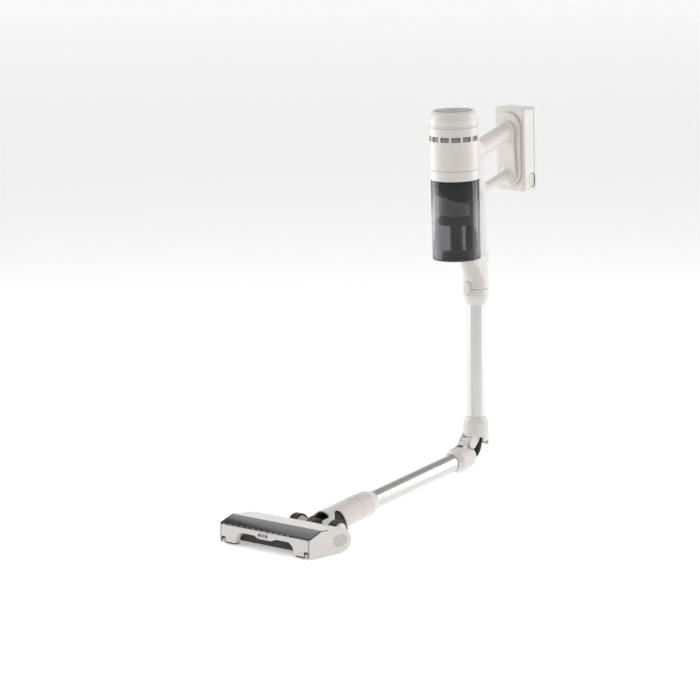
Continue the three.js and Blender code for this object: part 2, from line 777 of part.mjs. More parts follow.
// ---------------------------------------------------------------- upper wand
function buildUpperWand() {
  const bore = TUBE_R + GAP;
  const mouth = TUBE_R + MOUTH_LIP;
  const key = solid(wandKeyGeometry(0, SPIGOT_R + 2, SLEEVE_R + BUTTON_PROUD));
  part(wandFrame, "wand_button", key, white());

  const coupling = cut(
    turned(
      [
        [bore, upperCoupling],
        [mouth, upperCoupling],
        [SLEEVE_R, upperCoupling + COUPLING_TAPER],
        [SLEEVE_R, neckSeam],
        [SPIGOT_R, neckSeam],
        [SPIGOT_R, neckSeam + SPIGOT_LENGTH],
        [TUBE_R - 2.5, neckSeam + SPIGOT_LENGTH],
        [TUBE_R - 2.5, upperCoupling + TUBE_INSET + GAP],
        [bore, upperCoupling + TUBE_INSET + GAP],
        [bore, upperCoupling],
      ],
      MID,
    ),
    solid(wandKeyGeometry(BUTTON_GAP, SPIGOT_R + 0.6, SLEEVE_R + 6)),
  );
  part(wandFrame, "upper_coupling", coupling, white());
  const tubeLow = upperMouth - TUBE_INSET;
  const tubeHigh = upperCoupling + TUBE_INSET;
  const tube = ring(TUBE_R, TUBE_R - TUBE_WALL, tubeLow, tubeHigh, MID);
  part(wandFrame, "upper_tube", tube, satinAluminium());

  const collar = turned(
    [
      [bore, upperRim],
      [SLEEVE_R, upperRim],
      [SLEEVE_R, upperMouth - COLLAR_TAPER],
      [mouth, upperMouth],
      [bore, upperMouth],
      [bore, upperRim],
    ],
    MID,
  );
  const lug = ring(SLEEVE_R, SLEEVE_R - LUG_WALL, upperRim - LUG_DROP, upperRim + 1, MID).intersect(
    box(-22, 22, 12, 40, upperRim - 40, upperRim + 2),
  );
  const skirt = ring(SLEEVE_R, SLEEVE_R - LUG_WALL, upperRim - SKIRT_DROP, upperRim + 1, MID).intersect(
    box(-60, 60, -6, 60, upperRim - 40, upperRim + 2),
  );
  const ears = [-1, 1].map((side) => {
    const near = side * (KNUCKLE_HALF + GAP);
    const far = side * (KNUCKLE_HALF + GAP + EAR_WIDTH);
    return hull(
      [near, far].flatMap((x) => [
        ...circlePoints("x", point(x, -SLEEVE_R, pinHeight), KNUCKLE_R, SMALL),
        point(x, -14, upperRim + 4),
        point(x, -SLEEVE_R + 3, upperRim + 4),
      ]),
    );
  });
  const tubeRoom = disc(bore, upperRim - 60, upperMouth + 1, MID);
  const pinHole = rodX(-SLEEVE_R, pinHeight, -40, 40, FOLD_PIN_R + GAP, 16);
  const yoke = cut(join(collar, lug, skirt, ...ears), tubeRoom, pinHole);
  part(wandFrame, "fold_yoke", yoke, white());
  const pinHalf = KNUCKLE_HALF + GAP + EAR_WIDTH - 0.5;
  part(wandFrame, "fold_pin", rodX(-SLEEVE_R, pinHeight, -pinHalf, pinHalf, FOLD_PIN_R, 16), steel());
}

// ---------------------------------------------------------------- lower wand
const lowerWand = new THREE.Group();
lowerWand.position.set(0, 0, lowerAxisHeight);
lowerWand.rotation.x = slope;
wandFrame.add(lowerWand);

// A profile of [radius, distance along the wand] points, turned about the lower wand's axis.
const turnedAlongWand = (profile, segments = MID) =>
  solid(
    new THREE.LatheGeometry(
      profile.map(([r, s]) => new THREE.Vector2(r, s)),
      segments,
    ),
  );

function buildLowerWand() {
  const bore = TUBE_R + GAP;
  const mouth = TUBE_R + MOUTH_LIP;
  const taperEnd = lowerMouth + COLLAR_TAPER;
  const rear = PIN_FOOT - 0.7;
  const nestR = SLEEVE_R - LUG_WALL - 0.8;
  const nest = rear - 10;
  const hoseRoom = TUBE_R - 1;
  const collar = turnedAlongWand([
    [bore, lowerMouth],
    [mouth, lowerMouth],
    [SLEEVE_R, taperEnd],
    [SLEEVE_R, nest - 3],
    [nestR, nest],
    [nestR - 0.6, rear],
    [hoseRoom, rear],
    [hoseRoom, lowerMouth + TUBE_INSET + GAP],
    [bore, lowerMouth + TUBE_INSET + GAP],
    [bore, lowerMouth],
  ]);
  const pinY = PIN_FOOT;
  const pinZ = SLEEVE_R;
  const knuckle = hull(
    [-KNUCKLE_HALF, KNUCKLE_HALF].flatMap((x) => [
      ...circlePoints("x", point(x, pinY, pinZ), KNUCKLE_R, SMALL),
      point(x, pinY - 28, SLEEVE_R - 4),
      point(x, pinY - 2, SLEEVE_R - 5),
    ]),
  );
  const room = rod(point(0, lowerMouth, 0), point(0, 40, 0), hoseRoom, MID);
  const pinHole = rodX(pinY, pinZ, -40, 40, FOLD_PIN_R + GAP, 16);
  const key = FOLD_KEY;
  const keyShape = (grow) =>
    roundedRect(key.width + 2 * grow, key.height + 2 * grow, key.corner, [0, pinZ + key.rise]);
  const keyFront = pinY - KNUCKLE_R - 0.2;
  const pocket = towardsFront(keyShape(BUTTON_GAP), keyFront + key.depth + 2, keyFront - 8);
  const earRoom = [-1, 1].map((side) =>
    rodX(
      pinY,
      pinZ,
      side * KNUCKLE_HALF,
      side * (KNUCKLE_HALF + EAR_WIDTH + 3 * GAP),
      KNUCKLE_R + 2 * GAP,
      SMALL,
    ),
  );
  const knuckleBody = cut(join(collar, knuckle), room, pinHole, pocket, ...earRoom);
  part(lowerWand, "fold_knuckle", knuckleBody, white());
  const button = towardsFront(keyShape(0), keyFront + key.depth, keyFront);
  part(lowerWand, "fold_button", button, white());

  const tubeRear = lowerMouth + TUBE_INSET;
  const tubeFront = lowerCoupling - TUBE_INSET;
  part(
    lowerWand,
    "lower_tube",
    turnedAlongWand(
      [
        [TUBE_R - TUBE_WALL, tubeFront],
        [TUBE_R, tubeFront],
        [TUBE_R, tubeRear],
        [TUBE_R - TUBE_WALL, tubeRear],
        [TUBE_R - TUBE_WALL, tubeFront],
      ],
      MID,
    ),
    satinAluminium(),
  );

  const coupling = cut(
    turnedAlongWand([
      [SPIGOT_R, headSeam - SPIGOT_LENGTH],
      [SPIGOT_R, headSeam],
      [SLEEVE_R, headSeam],
      [SLEEVE_R, lowerCoupling - COUPLING_TAPER],
      [mouth, lowerCoupling],
      [bore, lowerCoupling],
      [bore, lowerCoupling - TUBE_INSET - GAP],
      [TUBE_R - 2.5, lowerCoupling - TUBE_INSET - GAP],
      [TUBE_R - 2.5, headSeam - SPIGOT_LENGTH],
      [SPIGOT_R, headSeam - SPIGOT_LENGTH],
    ]),
    topKey(BUTTON_GAP, headSeam - 1, 40, SPIGOT_R + 0.6),
  );
  part(lowerWand, "lower_coupling", coupling, white());
}

// The oval button on top of the swivel barrel, or a pocket for it; clipped to s = from .. to.
function topKey(grow, from, to, low = SPIGOT_R + 2) {
  const middle = headSeam - 2;
  const shape = roundedRect(
    BUTTON_WIDTH + 2 * grow,
    BUTTON_LENGTH + 2 * grow,
    BUTTON_WIDTH / 2 + grow,
    [0, middle],
  );
  const high = grow > 0 ? SLEEVE_R + 6 : SLEEVE_R + BUTTON_PROUD;
  const key = solid(
    new THREE.ExtrudeGeometry(shape, { depth: high - low, bevelEnabled: false, curveSegments: 5 })
      .translate(0, 0, low),
  );
  return key.intersect(box(-60, 60, from, to, -60, 60));
}

// ---------------------------------------------------------------- hose through the fold
function buildFoldHose() {
  const arcSteps = 7;
  const sweep = Math.PI / 2 - slope;
  const arc = Array.from({ length: arcSteps + 1 }, (_, i) => {
    const a = (-sweep * i) / arcSteps;
    return point(0, SLEEVE_R * (Math.cos(a) - 1), pinHeight + SLEEVE_R * Math.sin(a));
  });
  const along = point(0, -Math.cos(slope), -Math.sin(slope));
  const route = new THREE.CatmullRomCurve3([
    point(0, 0, upperMouth - TUBE_INSET - 2),
    point(0, 0, pinHeight + 6),
    ...arc,
    arc[arcSteps].clone().addScaledVector(along, 6),
    arc[arcSteps].clone().addScaledVector(along, 24),
  ]);
  const section = new THREE.Shape();
  section.absarc(0, 0, FOLD_HOSE_R, 0, 2 * Math.PI);
  const outer = solid(
    new THREE.ExtrudeGeometry(section, {
      steps: 16,
      curveSegments: 5,
      bevelEnabled: false,
      extrudePath: route,
    }),
  );
  part(wandFrame, "fold_hose", outer, blackRubber());
}

// ---------------------------------------------------------------- swivel neck
function buildNeck() {
  const inner = SLEEVE_R - BARREL_WALL;
  const pivotZ = -AXIS_OVER_PIVOT;
  const tube = turnedAlongWand([
    [inner, tiltPivot - 14],
    [SLEEVE_R, tiltPivot - 14],
    [SLEEVE_R, headSeam - GAP],
    [SPIGOT_R + 0.4, headSeam - GAP],
    [SPIGOT_R + 0.4, headSeam - SPIGOT_LENGTH - 1],
    [inner, headSeam - SPIGOT_LENGTH - 3],
    [inner, tiltPivot - 14],
  ]);
  // Side view of the barrel, with its mouth cut to an arch, and of the fork arms below its top.
  const s = (fromPivot) => tiltPivot + fromPivot;
  const barrel = outline([
    [s(130), 30],
    [s(130), -30],
    [s(63.5), -30],
    [s(61), -17],
    [s(54), -5],
    [s(50), 5],
    [s(48.5), 13],
    [s(45), 18.5],
    [s(39), 20.5],
    [s(39), 30],
  ]);
  const arms = outline([
    [s(39.5), 30],
    [s(39.5), 20.5],
    [s(33), 18.5],
    [s(27), 12],
    [s(22), 5],
    [s(13), -3],
    [s(9), -12],
    [s(-10.4), -7],
    [s(-11), 2],
    [s(-7), 13],
    [s(2), 21],
    [s(9), 26],
    [s(10), 30],
  ]);
  const sides = join(alongX(barrel, -40, 40), alongX(arms, -40, 40));
  const eyes = [-1, 1].map((side) =>
    rodX(tiltPivot, pivotZ, side * 20, side * (SLEEVE_R - 0.4), PIVOT_EYE_R, MID),
  );
  const topWindow = box(-FORK_HALF, FORK_HALF, tiltPivot - 40, s(FORK_REACH), 0, 40);
  const pinHole = rodX(tiltPivot, pivotZ, -60, 60, PIVOT_STUD_R + GAP, 16);
  const pocket = topKey(BUTTON_GAP, headSeam - 60, headSeam, SPIGOT_R + 0.6);
  const shell = cut(join(tube.intersect(sides), ...eyes), topWindow, pinHole, pocket);
  part(lowerWand, "neck_barrel", shell, white());
  part(lowerWand, "head_button", topKey(0, headSeam - 60, headSeam + 60), white());

  const pivot = point(0, tiltPivot, pivotZ);
  const linerRear = headSeam - SPIGOT_LENGTH - 4;
  const liner = cut(
    turnedAlongWand([
      [inner - 2.6, s(FORK_REACH)],
      [inner - GAP, s(FORK_REACH)],
      [inner - GAP, linerRear],
      [inner - 2.6, linerRear],
      [inner - 2.6, s(FORK_REACH)],
    ]),
    ball(pivot, 27, MID),
  );
  part(lowerWand, "neck_liner", liner, blackRubber());
}

// ---------------------------------------------------------------- floor head
const head = new THREE.Group();
head.position.set(0, axleY, 0);
wandFrame.add(head);

function buildCradle() {
  const frontPlate = box(-19, 19, -27, -22, WHEEL_R - 12, WHEEL_R + 10);
  const link = box(-CHEEK_OUTER, CHEEK_OUTER, -27, -20, WHEEL_R - 12, WHEEL_R - 2);
  const cheek = (side) => {
    const xs = [CHEEK_INNER, CHEEK_OUTER].map((x) => side * x);
    return hull(
      xs.flatMap((x) => [
        ...circlePoints("x", point(x, 0, WHEEL_R), 9, SMALL),
        point(x, -27, WHEEL_R - 12),
        point(x, -27, WHEEL_R + 4),
      ]),
    );
  };
  const axles = [-1, 1].map((side) =>
    rodX(0, WHEEL_R, side * (CHEEK_OUTER - 1), side * (WHEEL_INNER + WHEEL_WIDTH - 4), AXLE_R, SMALL),
  );
  const spigot = rod(point(0, -44, WHEEL_R), point(0, -22.5, WHEEL_R), SWIVEL_R, MID);
  const flange = rod(point(0, -46, WHEEL_R), point(0, -43, WHEEL_R), SWIVEL_R + 0.8, MID);
  const duct = rod(point(0, -60, WHEEL_R), point(0, -18, WHEEL_R), SWIVEL_R - 3, MID);
  const studs = [-1, 1].map((side) =>
    rodX(0, WHEEL_R, side * (BALL_R + 0.5), side * (CHEEK_INNER + 2), PIVOT_STUD_R, 16),
  );
  const ballRoom = ball(point(0, 0, WHEEL_R), BALL_R + GAP, MID);
  const cradle = cut(
    join(frontPlate, link, cheek(-1), cheek(1), ...axles, ...studs, spigot, flange),
    duct,
    ballRoom,
  );
  part(head, "cradle", cradle, darkPlastic());
  const airway = rod(point(0, -40, WHEEL_R), point(0, 40, WHEEL_R), 12, SMALL);
  part(
    head,
    "swivel_ball",
    cut(ball(point(0, 0, WHEEL_R), BALL_R, MID), airway).intersect(
      box(-18, 18, -40, 40, -40, 80),
    ),
    blackRubber(),
  );
  for (const [name, side] of [
    ["left", -1],
    ["right", 1],
  ]) {
    buildWheel(name, side);
  }
}

function buildWheel(name, side) {
  const outerX = WHEEL_INNER + WHEEL_WIDTH;
  const hubR = WHEEL_R - 4.5;
  const turnedOutwards = (profile, segments) =>
    solid(
      new THREE.LatheGeometry(
        profile.map(([r, x]) => new THREE.Vector2(r, x)),
        segments,
      )
        .rotateZ(-side * (Math.PI / 2))
        .translate(0, 0, WHEEL_R),
    );
  const hub = turnedOutwards(
    [
      [AXLE_R + GAP, WHEEL_INNER],
      [hubR, WHEEL_INNER],
      [hubR, outerX],
      [hubR * 0.8, outerX + 2.2],
      [hubR * 0.45, outerX + 3.4],
      [0, outerX + 3.8],
      [0, outerX - 3.4],
      [AXLE_R + GAP, outerX - 3.4],
      [AXLE_R + GAP, WHEEL_INNER],
    ],
    MID,
  );
  part(head, `wheel_hub_${name}`, hub, white());
  const tyre = turnedOutwards(
    [
      [hubR + GAP, WHEEL_INNER + 0.5],
      [WHEEL_R - 1.5, WHEEL_INNER + 0.5],
      [WHEEL_R, WHEEL_INNER + 2],
      [WHEEL_R, outerX - 2],
      [WHEEL_R - 1.5, outerX - 0.5],
      [hubR + GAP, outerX - 0.5],
      [hubR + GAP, WHEEL_INNER + 0.5],
    ],
    MID,
  );
  part(head, `tyre_${name}`, tyre, blackRubber());
}

// Side view of the floor head.
function headProfile(low = HEAD_LOW) {
  const shape = new THREE.Shape();
  shape.moveTo(-HEAD_FRONT + 1.5, low);
  shape.lineTo(-51, low);
  shape.bezierCurveTo(-38, low, -HEAD_REAR, 11, -HEAD_REAR, 23);
  shape.bezierCurveTo(-HEAD_REAR, 36, -42, 45, -58, 46.5);
  shape.lineTo(-WINDOW_REAR, WINDOW_REAR_TOP);
  shape.lineTo(-HEAD_FRONT, HEAD_FRONT_TOP);
  shape.lineTo(-HEAD_FRONT, low + 1.5);
  shape.closePath();
  return shape;
}

// The sloping window's section, grown by a clearance below and behind.
function windowSection(grow) {
  const rise = WINDOW_REAR_TOP - HEAD_FRONT_TOP;
  const run = HEAD_FRONT - WINDOW_REAR;
  const length = Math.hypot(rise, run);
  const normal = [rise / length, -run / length];
  const depth = WINDOW_THICK + grow;
  const frontY = -HEAD_FRONT - grow * 20;
  const frontTop = HEAD_FRONT_TOP - grow * 20 * (rise / run);
  return outline([
    [frontY, frontTop],
    [frontY + depth * normal[0], frontTop + depth * normal[1]],
    [-WINDOW_REAR + depth * normal[0] + grow, WINDOW_REAR_TOP + depth * normal[1]],
    [-WINDOW_REAR + grow, WINDOW_REAR_TOP + grow],
  ]);
}

function buildHead() {
  const shellHalf = HEAD_HALF - CAP_THICK - GAP;
  const baseTop = HEAD_LOW + BASE_THICK;
  const notch = (side) =>
    box(
      side * ROLLER_X - NOTCH_HALF,
      side * ROLLER_X + NOTCH_HALF,
      -HEAD_FRONT - 5,
      -HEAD_FRONT + 12.5,
      -5,
      NOTCH_HEIGHT,
    );
  const chamber = join(
    rodX(BRUSH_Y, BRUSH_Z, -BRUSH_HALF - 2, BRUSH_HALF + 2, BRUSH_R + 1.3, MID),
    box(-BRUSH_HALF - 2, BRUSH_HALF + 2, BRUSH_Y - BRUSH_R - 1, BRUSH_Y + BRUSH_R + 1, -5, BRUSH_Z),
  );
  const opening = outline([
    [-ENTRY_HALF, baseTop - 3],
    [ENTRY_HALF, baseTop - 3],
    [70, 21],
    [62, 26.5],
    [28, 26.5],
    [16, 21.8],
    [-16, 21.8],
    [-28, 26.5],
    [-62, 26.5],
    [-70, 21],
  ]);
  const rearRoom = cut(
    alongX(headProfile().clone(), -shellHalf + 12, shellHalf - 12),
    box(-200, 200, -200, BRUSH_Y + BRUSH_R + 6, -10, 80),
    box(-200, 200, -200, 200, -10, baseTop + GAP),
    box(-200, 200, -200, 200, 42.5, 80),
    box(-200, 200, -HEAD_REAR - 9, 20, -10, 80),
    box(-200, 200, -HEAD_REAR - 21, 20, -10, 9),
  );
  const flangeRoom = rod(
    point(0, -HEAD_REAR - 19, WHEEL_R),
    point(0, -HEAD_REAR - 9.5, WHEEL_R),
    SWIVEL_R + 0.8 + GAP,
    MID,
  );
  const gearRoom = box(shellHalf - 11, shellHalf + 1, BRUSH_Y - 12, BRUSH_MOTOR.y + 12, 7, 40);
  const shaftSlot = join(
    rodX(BRUSH_Y, BRUSH_Z, BRUSH_HALF, shellHalf, 5, 16),
    rodX(BRUSH_Y, BRUSH_Z, -shellHalf + 4, -BRUSH_HALF, 5, 16),
    rodX(BRUSH_MOTOR.y, BRUSH_MOTOR.z, 80, shellHalf, 5, 16),
  );
  const swivelBore = rod(point(0, -60, WHEEL_R), point(0, 0, WHEEL_R), SWIVEL_R + GAP, MID);
  const passage = rod(
    point(0, BRUSH_Y, WHEEL_R),
    point(0, -60, WHEEL_R),
    SWIVEL_R - 3,
    24,
  );
  const underWindow = alongX(
    outline([
      [-HEAD_FRONT + 8, 36],
      [-WINDOW_REAR - 4, 36],
      [-WINDOW_REAR - 4, 60],
      [-HEAD_FRONT + 8, 60],
    ]),
    -BRUSH_HALF,
    BRUSH_HALF,
  );
  const shell = cut(
    alongX(headProfile(baseTop + GAP), -shellHalf, shellHalf, 8),
    chamber,
    towardsFront(opening, BRUSH_Y, -HEAD_FRONT - 10, 4),
    alongX(windowSection(GAP), -200, 200),
    rearRoom,
    flangeRoom,
    gearRoom,
    shaftSlot,
    swivelBore,
    passage,
    underWindow,
    notch(-1),
    notch(1),
  );
  part(head, "head_shell", shell, white());
  part(head, "head_window", alongX(windowSection(0), -shellHalf, shellHalf), smoked());

  const mouth = box(
    -BRUSH_HALF + 1,
    BRUSH_HALF - 1,
    BRUSH_Y - BRUSH_R + 1,
    BRUSH_Y + BRUSH_R - 1,
    -5,
    20,
  );
  const entry = box(-ENTRY_HALF, ENTRY_HALF, -HEAD_FRONT - 1, BRUSH_Y, -5, 20);
  const base = cut(
    box(-shellHalf, shellHalf, -HEAD_FRONT + 1.5, -51, HEAD_LOW, baseTop),
    mouth,
    entry,
    notch(-1),
    notch(1),
  );
  part(head, "base_plate", base, darkPlastic());

  for (const [name, side] of [
    ["left", -1],
    ["right", 1],
  ]) {
    const from = side > 0 ? HEAD_HALF - CAP_THICK : -HEAD_HALF;
    part(head, `end_cap_${name}`, alongX(headProfile(), from, from + CAP_THICK, 8), white());
    const roller = rodX(
      -HEAD_FRONT + ROLLER_R + 0.4,
      ROLLER_R + 0.8,
      side * ROLLER_X - NOTCH_HALF + 0.8,
      side * ROLLER_X + NOTCH_HALF - 0.8,
      ROLLER_R,
      18,
    );
    part(head, `front_roller_${name}`, roller, meshGrey());
  }
  buildBrushDrive(shellHalf);
}

function buildBrushDrive(shellHalf) {
  const core = rodX(BRUSH_Y, BRUSH_Z, -BRUSH_HALF, BRUSH_HALF, BRUSH_CORE_R, MID);
  const gearFrom = shellHalf - 9;
  const shaft = join(
    rodX(BRUSH_Y, BRUSH_Z, -BRUSH_HALF - 5, gearFrom + 6, 4, 16),
    rodX(BRUSH_Y, BRUSH_Z, gearFrom, gearFrom + 6, BRUSH_GEAR_R, SMALL),
  );
  part(head, "brush_roll", join(core, shaft, bristleStrips()), darkPlastic());

  const motor = BRUSH_MOTOR;
  part(head, "brush_motor", rodX(motor.y, motor.z, motor.from, motor.to, motor.radius, MID), steel());
  part(
    head,
    "motor_pulley",
    join(
      rodX(motor.y, motor.z, motor.to + GAP, gearFrom + 6, 3, 14),
      rodX(motor.y, motor.z, gearFrom, gearFrom + 6, MOTOR_PULLEY_R, 16),
    ),
    steel(),
  );
  const loop = (grow) =>
    hull(
      [gearFrom + 0.5 - grow, gearFrom + 5.5 + grow].flatMap((x) => [
        ...circlePoints("x", point(x, BRUSH_Y, BRUSH_Z), BRUSH_GEAR_R + GAP + 1.6 - grow, MID),
        ...circlePoints("x", point(x, motor.y, motor.z), MOTOR_PULLEY_R + GAP + 1.6 - grow, SMALL),
      ]),
    );
  part(head, "drive_belt", cut(loop(0), loop(1.6)), blackRubber());
}

// Four strips that wind round the brush as low helical fins.
function bristleStrips() {
  const fins = 4;
  const finHalf = rad(7);
  const section = new THREE.Shape();
  const base = BRUSH_CORE_R - 1;
  for (let i = 0; i < fins; i += 1) {
    const a = (i / fins) * 2 * Math.PI;
    const next = ((i + 1) / fins) * 2 * Math.PI;
    const corners = [
      [base, a - finHalf * 1.3],
      [BRUSH_R, a - finHalf],
      [BRUSH_R, a + finHalf],
      [base, a + finHalf * 1.3],
      [base, (a + next) / 2],
    ];
    for (const [r, angle] of corners) {
      const [x, y] = [r * Math.cos(angle), r * Math.sin(angle)];
      if (i === 0 && r === base && angle < a) section.moveTo(x, y);
      else section.lineTo(x, y);
    }
  }
  section.closePath();
  const length = 2 * BRUSH_HALF - 6;
  const geometry = new THREE.ExtrudeGeometry(section, {
    depth: length,
    steps: 12,
    bevelEnabled: false,
  }).translate(0, 0, -length / 2);
  const position = geometry.getAttribute("position");
  const twist = rad(150) / length;
  for (let i = 0; i < position.count; i += 1) {
    const turned = point(position.getX(i), position.getY(i), 0).applyAxisAngle(
      point(0, 0, 1),
      twist * position.getZ(i),
    );
    position.setXY(i, turned.x, turned.y);
  }
  return solid(geometry.rotateY(Math.PI / 2).translate(0, BRUSH_Y, BRUSH_Z));
}

buildTop();
buildMotorSection();
buildDustCup();
buildHandle();
buildSpineInside();
buildBattery();
buildUpperWand();
buildLowerWand();
buildFoldHose();
buildNeck();
buildCradle();
buildHead();

export default vacuum;
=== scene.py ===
"""A cordless stick vacuum with a folding wand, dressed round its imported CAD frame.

Shapes are drawn in millimetres in the local frame of the part they belong to: the handheld unit,
the upright wand, the lower wand or the floor head. Moulded pieces are distance fields, so that
edges and joins have true radii; turned pieces are lathed.
"""

import json
import math

import bmesh
import bpy
import numpy as np
from mathutils import Matrix, Vector
from mathutils.geometry import tessellate_polygon


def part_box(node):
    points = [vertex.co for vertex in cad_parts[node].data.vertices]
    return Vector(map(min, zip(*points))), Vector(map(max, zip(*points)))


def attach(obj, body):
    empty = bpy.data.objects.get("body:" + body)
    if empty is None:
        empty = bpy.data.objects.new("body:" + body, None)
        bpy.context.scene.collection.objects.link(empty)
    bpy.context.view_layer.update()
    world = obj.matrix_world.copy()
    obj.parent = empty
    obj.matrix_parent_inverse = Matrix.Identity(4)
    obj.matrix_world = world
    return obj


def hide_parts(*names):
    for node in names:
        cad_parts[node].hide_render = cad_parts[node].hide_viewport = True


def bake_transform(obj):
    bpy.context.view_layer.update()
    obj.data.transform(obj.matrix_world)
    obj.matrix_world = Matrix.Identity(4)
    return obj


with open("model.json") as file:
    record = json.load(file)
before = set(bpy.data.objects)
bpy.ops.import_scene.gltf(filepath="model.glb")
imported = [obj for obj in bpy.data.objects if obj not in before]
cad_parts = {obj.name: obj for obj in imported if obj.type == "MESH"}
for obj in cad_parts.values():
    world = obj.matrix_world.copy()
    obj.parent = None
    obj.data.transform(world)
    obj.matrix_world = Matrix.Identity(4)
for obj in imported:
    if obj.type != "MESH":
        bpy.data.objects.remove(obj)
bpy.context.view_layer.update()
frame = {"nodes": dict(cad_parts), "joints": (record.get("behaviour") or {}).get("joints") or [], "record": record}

MM = 0.001
GAP = 0.3
FACET_FIT = math.cos(math.pi / 22)  # half width over radius of the frame's 22-sided round parts
joints = {j["name"]: j for j in frame["joints"]}


# ---------------------------------------------------------------- local frames
class Local:
    """A right-handed frame: an origin in mm and its y and z directions in the row frame."""

    def __init__(self, origin, y, z):
        y, z = (np.array(v, float) / np.linalg.norm(v) for v in (y, z))
        self.origin = np.array(origin, float)
        self.turn = np.column_stack([np.cross(y, z), y, z])

    def out(self, points):
        """Local mm to the row frame's metres."""
        return (np.asarray(points, float) @ self.turn.T + self.origin) * MM

    def into(self, points):
        """The row frame's metres to local mm."""
        return (np.asarray(points, float) / MM - self.origin) @ self.turn

    def box(self, node):
        """Lowest and highest local corner of a CAD node."""
        co = self.into([v.co[:] for v in frame["nodes"][node].data.vertices])
        return co.min(0), co.max(0)


def joint_point(name):
    return np.array(joints[name]["pos_m"]) / MM


UP = np.array([0.0, 0.0, 1.0])
BACK = np.array([0.0, 1.0, 0.0])
floor_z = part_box("tyre_right")[0].z / MM
axle = joint_point("wheel_spin_right")
tube_low, tube_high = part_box("upper_tube")
wand_y = (tube_low.y + tube_high.y) / 2 / MM

WAND = Local([0, wand_y, floor_z], BACK, UP)
HEAD = Local([0, axle[1], floor_z], BACK, UP)
hand_up = np.array(joints["fan_spin"]["axis"])
hand_back = np.array(joints["battery_slide"]["axis"])
fan_at = joint_point("fan_spin")
cup_low = Local(fan_at, hand_back, hand_up).box("cup_floor")[0][2]
HAND = Local(fan_at + cup_low * hand_up, hand_back, hand_up)
pin = joint_point("wand_fold")
along = np.array(joints["fold_release"]["axis"])
above = np.cross([1, 0, 0], along)
SLEEVE_R = WAND.box("upper_coupling")[1][0] / FACET_FIT
low_axis = pin - SLEEVE_R * above
low_axis = low_axis + along * (wand_y - low_axis[1]) / along[1]
LOW = Local(low_axis, along, above)
PIN = WAND.into(pin * MM)
LOW_PIN = LOW.into(pin * MM)


# ---------------------------------------------------------------- distance fields, in mm
def grid(low, high, step):
    """Sample coordinates x, y, z that broadcast over a block with a margin round it."""
    axes = [np.arange(a - 2 * step, b + 3 * step, step) for a, b in zip(low, high)]
    x, y, z = axes
    return x[:, None, None], y[None, :, None], z[None, None, :]


def either(a, b, fillet=0.0):
    """Union; the inner corner is filled to a radius."""
    if fillet <= 0:
        return np.minimum(a, b)
    round_in = np.hypot(np.maximum(fillet - a, 0), np.maximum(fillet - b, 0))
    return np.maximum(fillet, np.minimum(a, b)) - round_in


def both(a, b, edge=0.0):
    """Intersection; the outer corner is rounded to a radius."""
    if edge <= 0:
        return np.maximum(a, b)
    round_out = np.hypot(np.maximum(edge + a, 0), np.maximum(edge + b, 0))
    return np.minimum(-edge, np.maximum(a, b)) + round_out


def less(a, b, edge=0.0):
    return both(a, -b, edge)


def slab(v, low, high):
    return np.abs(v - (low + high) / 2) - (high - low) / 2


def rounded_rect(u, v, middle, width, height, corner):
    du = np.abs(u - middle[0]) - (width / 2 - corner)
    dv = np.abs(v - middle[1]) - (height / 2 - corner)
    outside = np.hypot(np.maximum(du, 0), np.maximum(dv, 0))
    return outside + np.minimum(np.maximum(du, dv), 0) - corner


def oval(u, v, middle, width, height):
    """An upright slot shape with round ends."""
    reach = (height - width) / 2
    dv = v - np.clip(v, middle[1] - reach, middle[1] + reach)
    return np.hypot(u - middle[0], dv) - width / 2


def capsule(u, v, start, end, radius, end_radius=None):
    """A bar with round ends between two points of a plane; it may taper to a second radius."""
    run = np.array(end, float) - start
    t = np.clip(((u - start[0]) * run[0] + (v - start[1]) * run[1]) / (run @ run), 0, 1)
    taper = 0 if end_radius is None else (end_radius - radius) * t
    return np.hypot(u - start[0] - t * run[0], v - start[1] - t * run[1]) - radius - taper


def sphere(x, y, z, middle, radius):
    return np.sqrt((x - middle[0]) ** 2 + (y - middle[1]) ** 2 + (z - middle[2]) ** 2) - radius


def outline(u, v, points):
    """Signed distance to a closed outline of straight runs."""
    u, v = np.broadcast_arrays(u, v)
    nearest = np.full(u.shape, 1e9)
    inside = np.zeros(u.shape, bool)
    for (x0, y0), (x1, y1) in zip(points, points[1:] + points[:1]):
        ex, ey = x1 - x0, y1 - y0
        length = ex * ex + ey * ey
        if length < 1e-12:
            continue
        t = np.clip(((u - x0) * ex + (v - y0) * ey) / length, 0, 1)
        nearest = np.minimum(nearest, (u - x0 - t * ex) ** 2 + (v - y0 - t * ey) ** 2)
        crosses = (y0 > v) != (y1 > v)
        if y1 != y0:
            inside ^= crosses & (u < (v - y0) * ex / (y1 - y0) + x0)
    return np.where(inside, -1, 1) * np.sqrt(nearest)


def rod(x, y, z, a, b, radius):
    """A round rod with flat ends."""
    a, b = np.array(a, float), np.array(b, float)
    length = np.linalg.norm(b - a)
    d = (b - a) / length
    t = (x - a[0]) * d[0] + (y - a[1]) * d[1] + (z - a[2]) * d[2]
    square = (x - a[0]) ** 2 + (y - a[1]) ** 2 + (z - a[2]) ** 2
    away = np.sqrt(np.maximum(square - t * t, 0))
    return np.maximum(away - radius, slab(t, 0, length))


